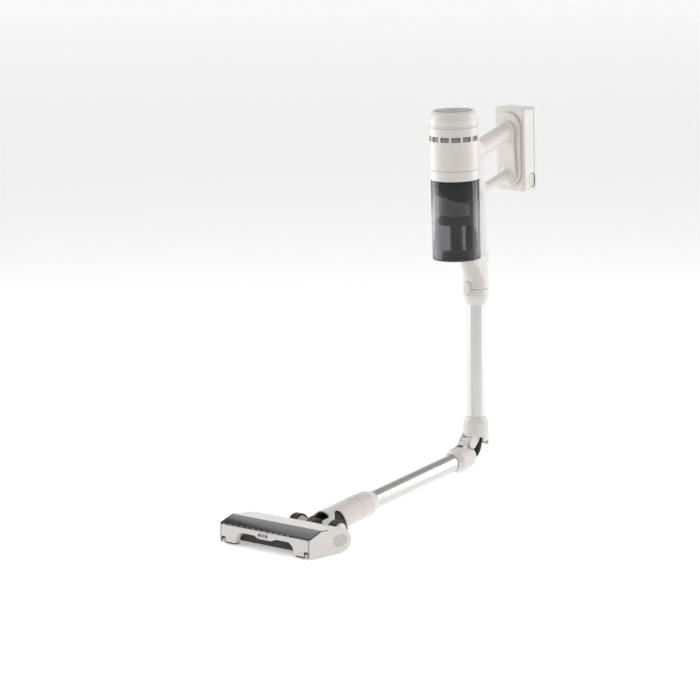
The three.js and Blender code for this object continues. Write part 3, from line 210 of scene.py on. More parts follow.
def filleted(points, radius, steps=5):
    """The outline with its corners rounded: one radius, or one for each point."""
    radii = radius if isinstance(radius, (list, tuple)) else [radius] * len(points)
    result = []
    for i, corner in enumerate(points):
        p = np.array(corner, float)
        a = np.array(points[i - 1], float) - p
        b = np.array(points[(i + 1) % len(points)], float) - p
        la, lb = np.linalg.norm(a), np.linalg.norm(b)
        angle = math.acos(np.clip(a @ b / (la * lb), -1, 1))
        if radii[i] <= 0 or angle > math.pi - 0.02:
            result.append(tuple(p))
            continue
        back = min(radii[i] / math.tan(angle / 2), 0.49 * la, 0.49 * lb)
        r = back * math.tan(angle / 2)
        bisector = a / la + b / lb
        centre = p + bisector / np.linalg.norm(bisector) * (r / math.sin(angle / 2))
        start, end = p + a / la * back - centre, p + b / lb * back - centre
        turn = math.atan2(start[0] * end[1] - start[1] * end[0], start @ end)
        for k in range(steps + 1):
            t = turn * k / steps
            c, s = math.cos(t), math.sin(t)
            x, y = c * start[0] - s * start[1], s * start[0] + c * start[1]
            result.append((centre[0] + x, centre[1] + y))
    return result


# ---------------------------------------------------------------- meshes
def surface(field, coordinates):
    """Vertices and quads of the zero surface of a sampled field, by surface nets."""
    shape = np.array(field.shape)
    low = np.array([c.flat[0] for c in coordinates])
    step = coordinates[0].flat[1] - coordinates[0].flat[0]
    total = np.zeros(tuple(shape - 1) + (3,), np.float32)
    count = np.zeros(tuple(shape - 1), np.float32)
    crossings = []
    for axis in range(3):
        near = [slice(None)] * 3
        far = [slice(None)] * 3
        near[axis], far[axis] = slice(None, -1), slice(1, None)
        a, b = field[tuple(near)], field[tuple(far)]
        crossed = (a < 0) != (b < 0)
        crossings.append((crossed, a < 0))
        t = np.where(crossed, a / np.where(crossed, a - b, 1), 0)
        others = [i for i in range(3) if i != axis]
        for du in (0, 1):
            for dv in (0, 1):
                part = [slice(None)] * 3
                for other, offset in zip(others, (du, dv)):
                    part[other] = slice(offset, shape[other] - 1 + offset)
                hit = crossed[tuple(part)]
                total[..., axis] += t[tuple(part)]
                total[..., others[0]] += hit * du
                total[..., others[1]] += hit * dv
                count += hit
    active = count > 0
    index = np.full(count.shape, -1)
    index[active] = np.arange(active.sum())
    vertices = (np.argwhere(active) + total[active] / count[active][:, None]) * step + low
    quads = []
    for axis, (crossed, starts_inside) in enumerate(crossings):
        u, v = [(1, 2), (2, 0), (0, 1)][axis]
        inner = [slice(None)] * 3
        inner[u], inner[v] = slice(1, shape[u] - 1), slice(1, shape[v] - 1)
        where = np.argwhere(crossed[tuple(inner)])
        facing = starts_inside[tuple(inner)][crossed[tuple(inner)]]
        corners = []
        for du, dv in ((0, 0), (1, 0), (1, 1), (0, 1)):
            cell = where.copy()
            cell[:, u] += du
            cell[:, v] += dv
            corners.append(index[tuple(cell.T)])
        quad = np.stack(corners, axis=1)
        quad[~facing] = quad[~facing][:, ::-1]
        quads.append(quad)
    return vertices, np.concatenate(quads).tolist()


def lathed(profile, segments=96):
    """A closed outline of (radius, height) points turned about z; points on the axis are shared."""
    angles = np.arange(segments) * 2 * math.pi / segments
    vertices, rows = [], []
    for r, z in profile:
        if r < 1e-6:
            rows.append([len(vertices)] * segments)
            vertices.append((0, 0, z))
            continue
        rows.append(list(range(len(vertices), len(vertices) + segments)))
        vertices += [(r * math.cos(a), r * math.sin(a), z) for a in angles]
    faces = []
    for low, high in zip(rows, rows[1:] + rows[:1]):
        for i in range(segments):
            j = (i + 1) % segments
            face = list(dict.fromkeys([low[i], low[j], high[j], high[i]]))
            if len(face) > 2:
                faces.append(face)
    return np.array(vertices, float), faces


def swept(centres, radii, segments=32):
    """A round body along a path in the y-z plane, one radius for each of its points."""
    centres = np.array(centres, float)
    tangents = np.gradient(centres, axis=0)
    tangents /= np.linalg.norm(tangents, axis=1)[:, None]
    side = np.array([1.0, 0, 0])
    angles = np.arange(segments) * 2 * math.pi / segments
    rings = []
    for centre, tangent, radius in zip(centres, tangents, radii):
        normal = np.cross(tangent, side)
        rings.append([centre + radius * (math.cos(a) * side + math.sin(a) * normal) for a in angles])
    vertices = np.array(rings).reshape(-1, 3)
    faces = []
    for row in range(len(centres) - 1):
        for i in range(segments):
            j = (i + 1) % segments
            base, top = row * segments, (row + 1) * segments
            faces.append([base + i, base + j, top + j, top + i])
    last = (len(centres) - 1) * segments
    faces.append(list(range(segments))[::-1])
    faces.append([last + i for i in range(segments)])
    return vertices, faces


def axis_along_y(mesh, origin=(0, 0, 0)):
    """A lathed mesh with its axis laid along local +y."""
    vertices, faces = mesh
    v = np.asarray(vertices)
    return np.column_stack([v[:, 0], v[:, 2], -v[:, 1]]) + np.array(origin), faces


def axis_along_x(mesh, side, origin):
    """A lathed mesh with its axis laid along local +x or -x."""
    vertices, faces = mesh
    v = np.asarray(vertices)
    return np.column_stack([side * v[:, 2], side * v[:, 0], v[:, 1]]) + np.array(origin), faces


def joined(meshes):
    vertices, faces = [], []
    for part_vertices, part_faces in meshes:
        start = sum(len(v) for v in vertices)
        vertices.append(np.asarray(part_vertices))
        faces += [[start + i for i in face] for face in part_faces]
    return np.concatenate(vertices), faces


def place(name, mesh, local, body, material, stands_for=(), sharp=None):
    """Adds a mesh as a piece on a CAD body; sharp is the angle above which edges stay crisp."""
    vertices, faces = mesh
    data = bpy.data.meshes.new(name)
    data.from_pydata(local.out(vertices).tolist(), [], faces)
    data.validate()
    shape = bmesh.new()
    shape.from_mesh(data)
    bmesh.ops.recalc_face_normals(shape, faces=shape.faces)
    shape.to_mesh(data)
    shape.free()
    data.shade_smooth()
    if sharp is not None:
        data.set_sharp_from_angle(angle=math.radians(sharp))
    data.materials.append(material)
    piece = bpy.data.objects.new(name, data)
    bpy.context.scene.collection.objects.link(piece)
    if body:
        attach(piece, body)
    if stands_for:
        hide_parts(*stands_for)
    return piece


# ---------------------------------------------------------------- materials
class Graph:
    """A material's node tree, with short ways to add what these surfaces need."""

    def __init__(self, name):
        self.material = bpy.data.materials.new(name)
        self.material.use_nodes = True
        self.tree = self.material.node_tree
        self.shader = self.tree.nodes["Principled BSDF"]
        self.where = self.add("ShaderNodeTexCoord").outputs["Object"]

    def add(self, kind, **values):
        node = self.tree.nodes.new(kind)
        for key, value in values.items():
            setattr(node, key, value)
        return node

    def link(self, a, b):
        self.tree.links.new(a, b)

    def set(self, **sockets):
        for name, value in sockets.items():
            self.shader.inputs[name.replace("_", " ")].default_value = value

    def stretched(self, scale, rotation):
        """Object coordinates turned and then scaled per axis."""
        mapping = self.add("ShaderNodeMapping", vector_type="TEXTURE")
        mapping.inputs["Rotation"].default_value = rotation
        mapping.inputs["Scale"].default_value = [1 / s for s in scale]
        self.link(self.where, mapping.inputs["Vector"])
        return mapping.outputs["Vector"]

    def noise(self, vector, scale, detail=2.0):
        node = self.add("ShaderNodeTexNoise")
        node.inputs["Scale"].default_value = scale
        node.inputs["Detail"].default_value = detail
        self.link(vector, node.inputs["Vector"])
        return node.outputs["Fac"]

    def spread(self, value, low, high, into):
        """Maps a noise's usual range onto low to high."""
        node = self.add("ShaderNodeMapRange")
        for name, number in (("From Min", 0.3), ("From Max", 0.7), ("To Min", low), ("To Max", high)):
            node.inputs[name].default_value = number
        self.link(value, node.inputs["Value"])
        self.link(node.outputs["Result"], into)

    def mixed(self, factor, a, b):
        """The base colour runs from a to b with the factor."""
        node = self.add("ShaderNodeMix", data_type="RGBA")
        node.inputs["A"].default_value = (*a, 1)
        node.inputs["B"].default_value = (*b, 1)
        self.link(factor, node.inputs["Factor"])
        self.link(node.outputs["Result"], self.shader.inputs["Base Color"])

    def bump(self, height, strength, distance):
        node = self.add("ShaderNodeBump")
        node.inputs["Strength"].default_value = strength
        node.inputs["Distance"].default_value = distance
        self.link(height, node.inputs["Height"])
        self.link(node.outputs["Normal"], self.shader.inputs["Normal"])


def shaded(color, amount):
    return tuple(min(1.0, c * amount) for c in color)


def moulded(name, color, roughness, grain=0.00003, grain_scale=2600, vary=0.02, coat=0.0, shine=0.5):
    """Moulded plastic or rubber: a faint drift of tone and gloss, and a fine spark-eroded grain."""
    g = Graph(name)
    drift = g.noise(g.where, 9)
    g.mixed(drift, shaded(color, 1 - vary), shaded(color, 1 + vary))
    g.spread(g.noise(g.where, 34, 4), roughness * 0.9, roughness * 1.1, g.shader.inputs["Roughness"])
    g.bump(g.noise(g.where, grain_scale, 3), 0.35, grain)
    g.set(IOR=1.5, Specular_IOR_Level=shine)
    if coat:
        g.set(Coat_Weight=coat, Coat_Roughness=0.12)
    return g.material


def drawn_metal(name, color, roughness, rotation):
    """Anodised tube: fine drawing lines that run along it."""
    g = Graph(name)
    lines = g.noise(g.stretched((2200, 2200, 14), rotation), 1, 4)
    g.mixed(lines, shaded(color, 0.94), shaded(color, 1.04))
    g.spread(lines, roughness * 0.85, roughness * 1.2, g.shader.inputs["Roughness"])
    g.bump(lines, 0.12, 0.00002)
    g.set(Metallic=1.0)
    return g.material


def smoked_clear(name, color):
    """Tinted clear plastic with a polished face and the faintest moulding ripple."""
    g = Graph(name)
    ripple = g.noise(g.where, 18)
    g.mixed(ripple, shaded(color, 0.96), shaded(color, 1.04))
    g.spread(g.noise(g.where, 60, 4), 0.02, 0.05, g.shader.inputs["Roughness"])
    g.bump(ripple, 0.05, 0.0001)
    g.set(Transmission_Weight=1.0, IOR=1.45)
    return g.material


def perforated(name, light, dark, pitch, roughness, metallic=0.0):
    """Fine mesh: a staggered field of dark holes in a lighter web."""
    g = Graph(name)
    cells = g.add("ShaderNodeTexVoronoi")
    cells.inputs["Scale"].default_value = 1 / pitch
    cells.inputs["Randomness"].default_value = 0.12
    g.link(g.where, cells.inputs["Vector"])
    step = g.add("ShaderNodeMapRange", interpolation_type="SMOOTHSTEP")
    step.inputs["From Min"].default_value = 0.3
    step.inputs["From Max"].default_value = 0.42
    g.link(cells.outputs["Distance"], step.inputs["Value"])
    g.mixed(step.outputs["Result"], dark, light)
    g.bump(step.outputs["Result"], 0.6, 0.0002)
    g.spread(g.noise(g.where, 80), roughness * 0.9, roughness * 1.15, g.shader.inputs["Roughness"])
    g.set(Metallic=metallic)
    return g.material


LOW_SLOPE = math.atan2(along[2], along[1])
WHITE = (0.74, 0.70, 0.66)
ALUMINIUM = (0.64, 0.635, 0.625)
white = moulded("warm_white_plastic", WHITE, 0.34, grain=0.00002, vary=0.012, coat=0.15)
white_key = moulded("warm_white_key", shaded(WHITE, 0.97), 0.4, grain=0.00004, vary=0.012)
wheel_white = moulded("wheel_white", shaded(WHITE, 1.02), 0.3, vary=0.012, coat=0.1)
dark = moulded("dark_plastic", (0.035, 0.035, 0.038), 0.36)
inner_grey = moulded("cyclone_grey", (0.075, 0.075, 0.08), 0.38)
glossy = moulded("dark_gloss", (0.016, 0.016, 0.018), 0.12, grain=0.000002, shine=0.2)
window_dark = moulded("window_dark", (0.014, 0.014, 0.016), 0.2, grain=0.000001, shine=0.25)
rubber = moulded("black_rubber", (0.016, 0.016, 0.017), 0.62, grain=0.00006, grain_scale=1500, vary=0.08)
tyre_rubber = moulded("tyre_rubber", (0.022, 0.022, 0.024), 0.5, grain=0.00008, grain_scale=1100, vary=0.08)
orange = moulded("orange_bristle", (0.62, 0.24, 0.04), 0.6, grain=0.0002, grain_scale=1800, vary=0.2)
bristle = moulded("dark_bristle", (0.03, 0.03, 0.032), 0.75, grain=0.0004, grain_scale=1500, vary=0.25)
roller_grey = moulded("roller_grey", (0.55, 0.54, 0.52), 0.35, vary=0.03)
smoked = smoked_clear("smoked_clear_plastic", (0.40, 0.40, 0.41))
upright_metal = drawn_metal("satin_aluminium_upright", ALUMINIUM, 0.28, (0, 0, 0))
sloping_metal = drawn_metal("satin_aluminium_sloping", ALUMINIUM, 0.28, (LOW_SLOPE + math.pi / 2, 0, 0))
steel = drawn_metal("ground_steel", (0.6, 0.6, 0.61), 0.25, (0, math.pi / 2, 0))
vent_mesh = perforated("vent_mesh", (0.36, 0.36, 0.355), (0.12, 0.12, 0.12), 0.0011, 0.4)
filter_mesh = perforated("filter_mesh", (0.42, 0.42, 0.42), (0.08, 0.08, 0.08), 0.0009, 0.35, 0.6)


# ---------------------------------------------------------------- kinds of piece
def shell(name, field, coordinates, local, body, nodes):
    """A moulded white piece."""
    place(name, surface(field, coordinates), local, body, white, nodes)


def key_cap(name, field, coordinates, local, body, node):
    """A key, moulded in white with a coarser grain."""
    place(name, surface(field, coordinates), local, body, white_key, [node])


def turned(name, profile, segments, body, material, nodes=()):
    """A lathed piece about the axis of the handheld unit."""
    return place(name, lathed(profile, segments), HAND, body, material, nodes, sharp=40)


def tall_slot(x, along_axis, middle, grow=0.0):
    """The outline of the wand key and of the head key, or of a pocket that clears it."""
    return oval(x, along_axis, (0, middle), KEY_WIDTH + 2 * grow, KEY_HEIGHT + 2 * grow)


KEY_WIDTH, KEY_HEIGHT = 16, 27
KEY_SHIFT = 2.0
KEY_CLEAR = 0.4
KEY_SEAT = 20


# ---------------------------------------------------------------- handheld unit
body_low, body_high = HAND.box("motor_housing")
BODY_R = body_high[0]
COLLAR_TOP = body_low[2] - GAP
CAP_SEAM = body_high[2]
cap_low, cap_high = HAND.box("top_cap")
BODY_TOP = cap_high[2]
LENS_R = HAND.box("display_lens")[1][0]
CUP_TOP = HAND.box("cup_shell")[1][2]
CUP_R = HAND.box("cup_shell")[1][0]
CUP_FLOOR = HAND.box("cup_floor")[1][2]
WALL = 2.4
SEAM_EDGE = 0.7
CAP_SHOULDER = 12.0
VENT_LOW, VENT_HIGH = 233.2, 242.9
VENT_MIDDLE = (VENT_LOW + VENT_HIGH) / 2
VENT_PITCH = 2 * math.pi / 13
VENT_FIRST = math.radians(17.9)
VENT_WIDTH = math.radians(22) * BODY_R
FAR = 20.0
INLET_HEIGHT = 85
SHROUD_EDGE, SHROUD_SLANT = 118, math.radians(15)


def build_cap():
    shoulder_start = CAP_SEAM + CAP_SHOULDER
    reach = BODY_R - LENS_R - GAP
    shoulder = [
        (LENS_R + GAP + reach * math.cos(a), shoulder_start + (BODY_TOP - shoulder_start) * math.sin(a))
        for a in (math.pi / 2 * i / 16 for i in range(17))
    ]
    foot, ledge = cap_low[2], BODY_TOP - 3.3
    edge = filleted([(BODY_R - WALL, foot), (BODY_R, foot), (BODY_R, foot + 5)], SEAM_EDGE)
    profile = edge[1:-1] + shoulder + [
        (LENS_R + 0.25, BODY_TOP - 0.5), (LENS_R + 0.25, ledge), (LENS_R - 3, ledge), (LENS_R - 3, ledge - 2),
        (LENS_R + 2, ledge - 2.5), (BODY_R - WALL, shoulder_start), (BODY_R - WALL, foot)]
    turned("cap_shell", profile, 144, "handheld", white, ["top_cap"])

    def from_top(points):
        return [(r, BODY_TOP + z) for r, z in points]

    lens = from_top([(7.3, -3), (LENS_R, -3), (LENS_R, -0.6), (LENS_R - 0.6, -0.15), (LENS_R - 3, 0),
                     (7.6, 0), (7.3, -0.3)])
    turned("display_glass", lens, 144, "handheld", glossy, ["display_lens"])
    key = from_top([(0, -3), (6.95, -3), (6.95, -0.2), (6.5, 0.1), (3.5, 0.1), (0, -0.35)])
    turned("power_key_cap", key, 64, "power_key", glossy, ["power_button"])
    lit = moulded("display_mark", (0.30, 0.31, 0.32), 0.3)
    ticks = []
    for i in range(24):
        a = math.radians(200 + i * 5.9)
        radius = 26
        x, y = radius * math.sin(a), -radius * math.cos(a)
        ticks.append(small_block((x, y, BODY_TOP + 0.03), (1.2, 1.2, 0.1), 0.3))
    place("display_dots", joined(ticks), HAND, "handheld", lit)


def small_block(middle, size, corner):
    """A low block with rounded upright corners."""
    steps = 4
    w, d, h = (s / 2 for s in size)
    ring = filleted([(-w, -d), (w, -d), (w, d), (-w, d)], corner, steps)
    n = len(ring)
    vertices = [(x + middle[0], y + middle[1], middle[2] + z) for z in (-h, h) for x, y in ring]
    faces = [[i, (i + 1) % n, n + (i + 1) % n, n + i] for i in range(n)]
    faces += [list(range(n))[::-1], [n + i for i in range(n)]]
    return vertices, faces


def build_housing():
    g = grid((-BODY_R - 1, -BODY_R - 1, COLLAR_TOP), (BODY_R + 1, BODY_R + 1, CAP_SEAM), 0.85)
    x, y, z = g
    rho = np.hypot(x, y)
    middle = (BODY_R - WALL / 2, (body_low[2] + CAP_SEAM) / 2)
    wall = rounded_rect(rho, z, middle, WALL, CAP_SEAM - body_low[2], SEAM_EDGE)
    around = np.arctan2(x, -y)
    turn = ((around - VENT_FIRST) / VENT_PITCH + 0.5) % 1 - 0.5
    behind = np.abs(around) > math.pi - 0.5 * VENT_PITCH - VENT_WIDTH / BODY_R
    across, height = turn * VENT_PITCH * BODY_R, VENT_HIGH - VENT_LOW
    window = rounded_rect(across, z, (0, VENT_MIDDLE), VENT_WIDTH, height, 1.2)
    window = np.where(behind, FAR, window)
    lip = both(np.abs(window - 0.7) - 0.7, slab(rho, BODY_R - 1, BODY_R + 0.55), 0.4)
    field = less(either(wall, lip, 0.4), window, 0.3)
    shell("housing_shell", field, g, HAND, "handheld", ["motor_housing"])
    inner = BODY_R - WALL - GAP
    low, high = VENT_LOW - 5, VENT_HIGH + 5
    grille = [(inner - 1.5, low), (inner, low), (inner, high), (inner - 1.5, high)]
    turned("vent_screen", grille, 144, "handheld", vent_mesh, ["exhaust_grille"])
    near, far, bar_z = inner + 0.05, inner + 0.9, VENT_MIDDLE + 1.5
    bar = [(near, bar_z - 0.5), (far, bar_z - 0.4), (far, bar_z + 0.4), (near, bar_z + 0.5)]
    turned("vent_bar", bar, 144, "handheld", inner_grey)


def build_collar():
    low = HAND.box("cup_collar")[0][2]
    g = grid((-BODY_R, -BODY_R, low), (BODY_R, BODY_R, COLLAR_TOP), 0.85)
    x, y, z = g
    thick = 14
    middle = (BODY_R - thick / 2, (low + COLLAR_TOP) / 2)
    ring = rounded_rect(np.hypot(x, y), z, middle, thick, COLLAR_TOP - low, SEAM_EDGE)
    key_low, key_high = HAND.box("cup_button")
    middle = (key_low[1:] + key_high[1:]) / 2
    width, height = key_high[1:] - key_low[1:]
    pocket = np.maximum(rounded_rect(y, z, middle, width + 0.8, height + 0.8, 3.8), x + BODY_R - 7)
    shell("collar_ring", less(ring, pocket, 0.4), g, HAND, "handheld", ["cup_collar"])
    g = grid(key_low, key_high, 0.4)
    x, y, z = g
    key = both(rounded_rect(y, z, middle, width, height, 3.4), slab(x, key_low[0], key_high[0]), 0.6)
    key_cap("cup_key_cap", key, g, HAND, "cup_key", "cup_button")


def build_cup():
    inner = CUP_R - 2.2
    low = HAND.box("cup_shell")[0][2]
    wall = filleted([(inner, low), (CUP_R, low), (CUP_R, CUP_TOP), (inner, CUP_TOP)], 0.4, 3)
    cup = turned("cup_wall", wall, 160, "dust_cup", smoked, ["cup_shell"])
    hole = lathed([(0, 0), (11.5, 0), (11.5, 18), (0, 18)], 48)
    hole = axis_along_y(hole, (0, inner - 10, INLET_HEIGHT))
    cutter = place("inlet_cutter", hole, HAND, None, smoked)
    cut_with(cup, cutter)
    edge = filleted([(0, 0), (CUP_R, 0), (CUP_R, CUP_FLOOR), (0, CUP_FLOOR)], [0, 1.6, 0.3, 0])
    floor_tint = moulded("cup_floor_smoke", (0.03, 0.03, 0.032), 0.14, coat=0.4)
    turned("cup_base", edge, 160, "dust_cup", floor_tint, ["cup_floor"])
    build_shroud()

    low, high = HAND.box("mesh_filter")
    r = high[0]
    screen = [(r - 2, low[2]), (r, low[2]), (r, high[2]), (r - 2, high[2])]
    turned("filter_screen", screen, 128, "dust_cup", filter_mesh, ["mesh_filter"])
    near, far, top = r - 0.2, r + 0.9, low[2] + 2.2
    rim = filleted([(near, low[2]), (far, low[2]), (far, top), (near, top)], 0.4)
    turned("filter_rim", rim, 128, "dust_cup", roller_grey)

    low, high = HAND.box("cyclone_skirt")
    tube_low, tube_high = HAND.box("cyclone_tube")
    tube_r = tube_high[0]
    skirt = filleted([(tube_r + GAP, low[2] + 3), (33.5, low[2]), (35.4, low[2] + 2), (31.5, high[2]),
                      (tube_r + GAP, high[2])], [0, 0.8, 0.8, 1.2, 0])
    turned("skirt", skirt, 128, "dust_cup", inner_grey, ["cyclone_skirt"])
    tube = [(tube_r - 2.2, tube_low[2]), (tube_r, tube_low[2]), (tube_r, 70), (tube_r - 0.1, tube_high[2]),
            (tube_r - 2.2, tube_high[2])]
    turned("cyclone_pipe", tube, 96, "dust_cup", inner_grey, ["cyclone_tube"])

    low, high = HAND.box("fine_dust_cup")
    r = high[0]
    pot = filleted([(0, low[2]), (r, low[2]), (r - 1.5, high[2]), (r - 3.5, high[2]), (r - 3, low[2] + 2),
                    (0, low[2] + 2)], [0, 0.5, 0.7, 0.7, 1, 0])
    turned("fine_dust_pot", pot, 128, "dust_cup", inner_grey, ["fine_dust_cup"])


def build_shroud():
    """The dark ring in the cup; its lower edge slants down to one side."""
    low, high = HAND.box("cyclone_shroud")
    radius = high[0]
    g = grid((-radius, -radius, low[2]), (radius, radius, high[2]), 1.0)
    x, y, z = g
    rho = np.hypot(x, y)
    middle = SHROUD_EDGE + 4
    ring = rounded_rect(rho, z, (radius - 7, middle), 14, 2 * (high[2] - middle), 1.0)
    fall = math.tan(SHROUD_SLANT)
    edge_z = SHROUD_EDGE - x * fall * 0.74 - y * fall * 0.68
    field = both(ring, (edge_z - z) * math.cos(SHROUD_SLANT), 0.8)
    band = np.abs(z - (high[2] - 9)) - 0.5
    field = less(field, both(band, radius - 0.6 - rho), 0.2)
    place("shroud", surface(field, g), HAND, "dust_cup", inner_grey, ["cyclone_shroud"])


def cut_with(piece, cutter):
    """Cuts one mesh out of another for good."""
    modifier = piece.modifiers.new("cut", "BOOLEAN")
    modifier.operation = "DIFFERENCE"
    modifier.solver = "EXACT"
    modifier.object = cutter
    evaluated = piece.evaluated_get(bpy.context.evaluated_depsgraph_get())
    result = bpy.data.meshes.new_from_object(evaluated)
    piece.modifiers.clear()
    piece.data = result
    bpy.data.objects.remove(cutter)


# ---------------------------------------------------------------- handle, dock and battery
dock_low, dock_high = HAND.box("battery_dock")
PLATE_FRONT = dock_low[1] - GAP
GRIP_R, GRIP_RISE = 18.0, math.radians(15.9)
BRACE_R, BRACE_RISE = 9.8, math.radians(17.0)
SPINE_HALF = 16.5
SPINE_HEIGHTS = [-90, -14, 0, 112, 137, 187, 228, 246, 264]
SPINE_BACKS = [79.7, 83.7, 83.8, 83, 79.6, 75, 66, 58, 54.5]
NECK_HEIGHTS = [-1, 16, 36, 57, 68]
NECK_SEAM = WAND.box("upper_coupling")[1][2] - 19.0


def rising(y0, z0, rise, y):
    return z0 + (y - y0) * math.tan(rise)


def grip_height(y):
    """The grip's axis climbs towards the battery."""
    return rising(50, 200.7, GRIP_RISE, y)


def brace_height(y):
    return rising(76, 122.5, BRACE_RISE, y)


def build_handle():
    g = grid((-26, -50, -72), (26, PLATE_FRONT, CAP_SEAM + 4), 1.2)
    x, y, z = g
    back = np.interp(z, SPINE_HEIGHTS, SPINE_BACKS)
    spine = np.hypot(x, np.maximum(y - (back - SPINE_HALF), 0)) - SPINE_HALF
    spine = both(both(spine, 30 - y), slab(z, -12, CAP_SEAM + 3), 2)

    tilt = math.atan2(hand_back[2], hand_back[1])
    seat = WAND.into(HAND.out([[0, 0, 0]]))[0]
    wy = seat[1] + y * math.cos(tilt) - z * math.sin(tilt)
    wz = seat[2] + y * math.sin(tilt) + z * math.cos(tilt) - NECK_SEAM
    half = np.interp(wz, NECK_HEIGHTS, [SLEEVE_R, SLEEVE_R, 21.6, 18, 17])
    front = np.interp(wz, NECK_HEIGHTS, [-SLEEVE_R, -SLEEVE_R, -31, -37, -42])
    rear = np.interp(wz, NECK_HEIGHTS, [SLEEVE_R, SLEEVE_R, 24.6, 25.5, 27])
    neck = np.hypot(x, wy - np.clip(wy, front + half, rear - half)) - half
    neck = both(neck, slab(wz, GAP, 66), 0.8)
    field = either(spine, neck, 9)

    end = PLATE_FRONT + 10
    grip = rod(x, y, z, (0, 50, grip_height(50)), (0, end, grip_height(end)), GRIP_R)
    brace = rod(x, y, z, (0, 66, brace_height(66)), (0, end, brace_height(end)), BRACE_R)
    arms = both(either(either(field, grip, 7), brace, 14), y - PLATE_FRONT)

    top, low = grip_height(PLATE_FRONT) - 2, brace_height(PLATE_FRONT) + 3
    fairing = capsule(x, z, (0, low), (0, top), 23, 19)
    fairing = both(fairing, slab(y, PLATE_FRONT - 5.5, PLATE_FRONT), 2.5)
    field = both(either(arms, fairing, 6), y - PLATE_FRONT)

    body = np.maximum(np.hypot(x, y) - BODY_R - GAP, -1 - z)
    away = np.hypot(x, wy)
    socket = np.maximum(away - 19.8, wz - 20)
    pocket = np.maximum(tall_slot(x, wz, KEY_SHIFT, KEY_CLEAR), np.maximum(wy, 18.4 - away))
    field = less(less(less(field, body, 0.8), socket, 0.6), pocket, 0.5)
    shell("handle", field, g, HAND, "handheld", ["handle_shell_left", "handle_shell_right"])


def build_wand_key():
    low, high = WAND.box("wand_button")
    middle = NECK_SEAM + KEY_SHIFT
    g = grid(low, high, 0.5)
    x, y, z = g
    crown = np.hypot(x, y) - (-low[1])
    key = both(tall_slot(x, z, middle), np.maximum(crown, y - high[1]), 1.4)
    key = less(key, sphere(x, y, z, (0, low[1] - 28, middle), 27.4), 0.6)
    key_cap("wand_key_cap", key, g, WAND, "wand_key", "wand_button")


def build_dock():
    g = grid(dock_low, dock_high, 0.9)
    x, y, z = g
    middle = (dock_low[2] + dock_high[2]) / 2
    pill = oval(x, z, (0, middle), 2 * dock_high[0], dock_high[2] - dock_low[2])
    field = both(pill, slab(y, dock_low[1], dock_high[1]), 2.2)
    ring = np.abs(np.hypot(x, z - (dock_high[2] - 30)) - 26.6) - 0.45
    seam = np.maximum(np.maximum(ring, y - dock_low[1] - 0.7), 12 - x - (z - middle) * 0.55)
    field = less(field, seam, 0.2)
    shell("dock_plate", field, g, HAND, "handheld", ["battery_dock"])


def build_battery():
    low, high = HAND.box("battery_case")[0], HAND.box("battery_cover")[1]
    split = HAND.box("battery_case")[1][1]
    middle = (0, (low[2] + high[2]) / 2)
    size = (2 * high[0], high[2] - low[2])
    key_low, key_high = HAND.box("battery_button_right")
    key_middle = (key_low[1:] + key_high[1:]) / 2
    key_size = key_high[1:] - key_low[1:]

    def key_slot(y, z, grow):
        return oval(y, z, key_middle, *(key_size + grow))

    for name, start, end, node in (
        ("battery_front", low[1], split, "battery_case"),
        ("battery_back", split + 0.03, high[1], "battery_cover"),
    ):
        g = grid((low[0], start, low[2]), (high[0], end, high[2]), 1.1)
        x, y, z = g
        block = rounded_rect(x, z, middle, *size, 8)
        outside = both(both(block, low[1] - y, 2.2), y - high[1], 6)
        field = np.maximum(outside, slab(y, start, end))
        pocket = np.maximum(key_slot(y, z, 1), 29.5 - np.abs(x))
        shell(name, less(field, pocket, 0.6), g, HAND, "battery_pack", [node])
    marks = []
    for i in range(5):
        block, faces = small_block((0, 0, 0), (2.6, 0.8, 0.25), 0.35)
        upright = np.array([(x - 9 + 4.2 * i, -z, y) for x, y, z in block])
        marks.append((upright + (4, low[1] - 0.02, high[2] - 5.5), faces))
    place("charge_marks", joined(marks), HAND, "battery_pack", roller_grey)

    # A dark ring in the gap round each battery key is painted shade in the groove.
    reach = high[0] - 0.3
    g = grid((-reach, key_low[1] - 1, key_low[2] - 1), (reach, key_high[1] + 1, key_high[2] + 1), 0.5)
    x, y, z = g
    ring = np.maximum(key_slot(y, z, 1.6), -key_slot(y, z, 0.1))
    ring = np.maximum(ring, slab(np.abs(x), high[0] - 3, high[0] - 0.35))
    place("battery_key_gap_shade", surface(ring, g), HAND, "battery_pack", inner_grey)
    for word, side in (("right", 1), ("left", -1)):
        node = f"battery_button_{word}"
        key_low, key_high = HAND.box(node)
        g = grid(key_low, key_high, 0.5)
        x, y, z = g
        key = both(key_slot(y, z, 0), slab(x, key_low[0], key_high[0]), 0.5)
        key = both(key, side * x - (high[0] - 1.1), 0.8)
        dish = sphere(side * x, y, (z - key_middle[1]) * 0.6, (high[0] + 24, key_middle[0], 0), 26.6)
        key_cap(f"battery_key_{word}_cap", less(key, dish, 0.4), g, HAND, f"battery_key_{word}", node)


# ---------------------------------------------------------------- wand
TUBE_R = WAND.box("upper_tube")[1][0] / FACET_FIT
BORE = TUBE_R + GAP
MOUTH = TUBE_R + 1.1
LINED = TUBE_R - 2.5
COUPLING_TAPER = 19.2
SPIGOT_R = 19.4
SPIGOT = 19.0
TUBE_INSET = 22.3
UPPER_MOUTH = WAND.box("fold_yoke")[1][2]
UPPER_RIM = UPPER_MOUTH - 39
HEAD_SEAM = LOW.box("lower_coupling")[0][1] + SPIGOT
KNUCKLE_R = 10.5
PIN_R = 3.2
PIN_BORE = 3.5
EAR_THICK = 5.7


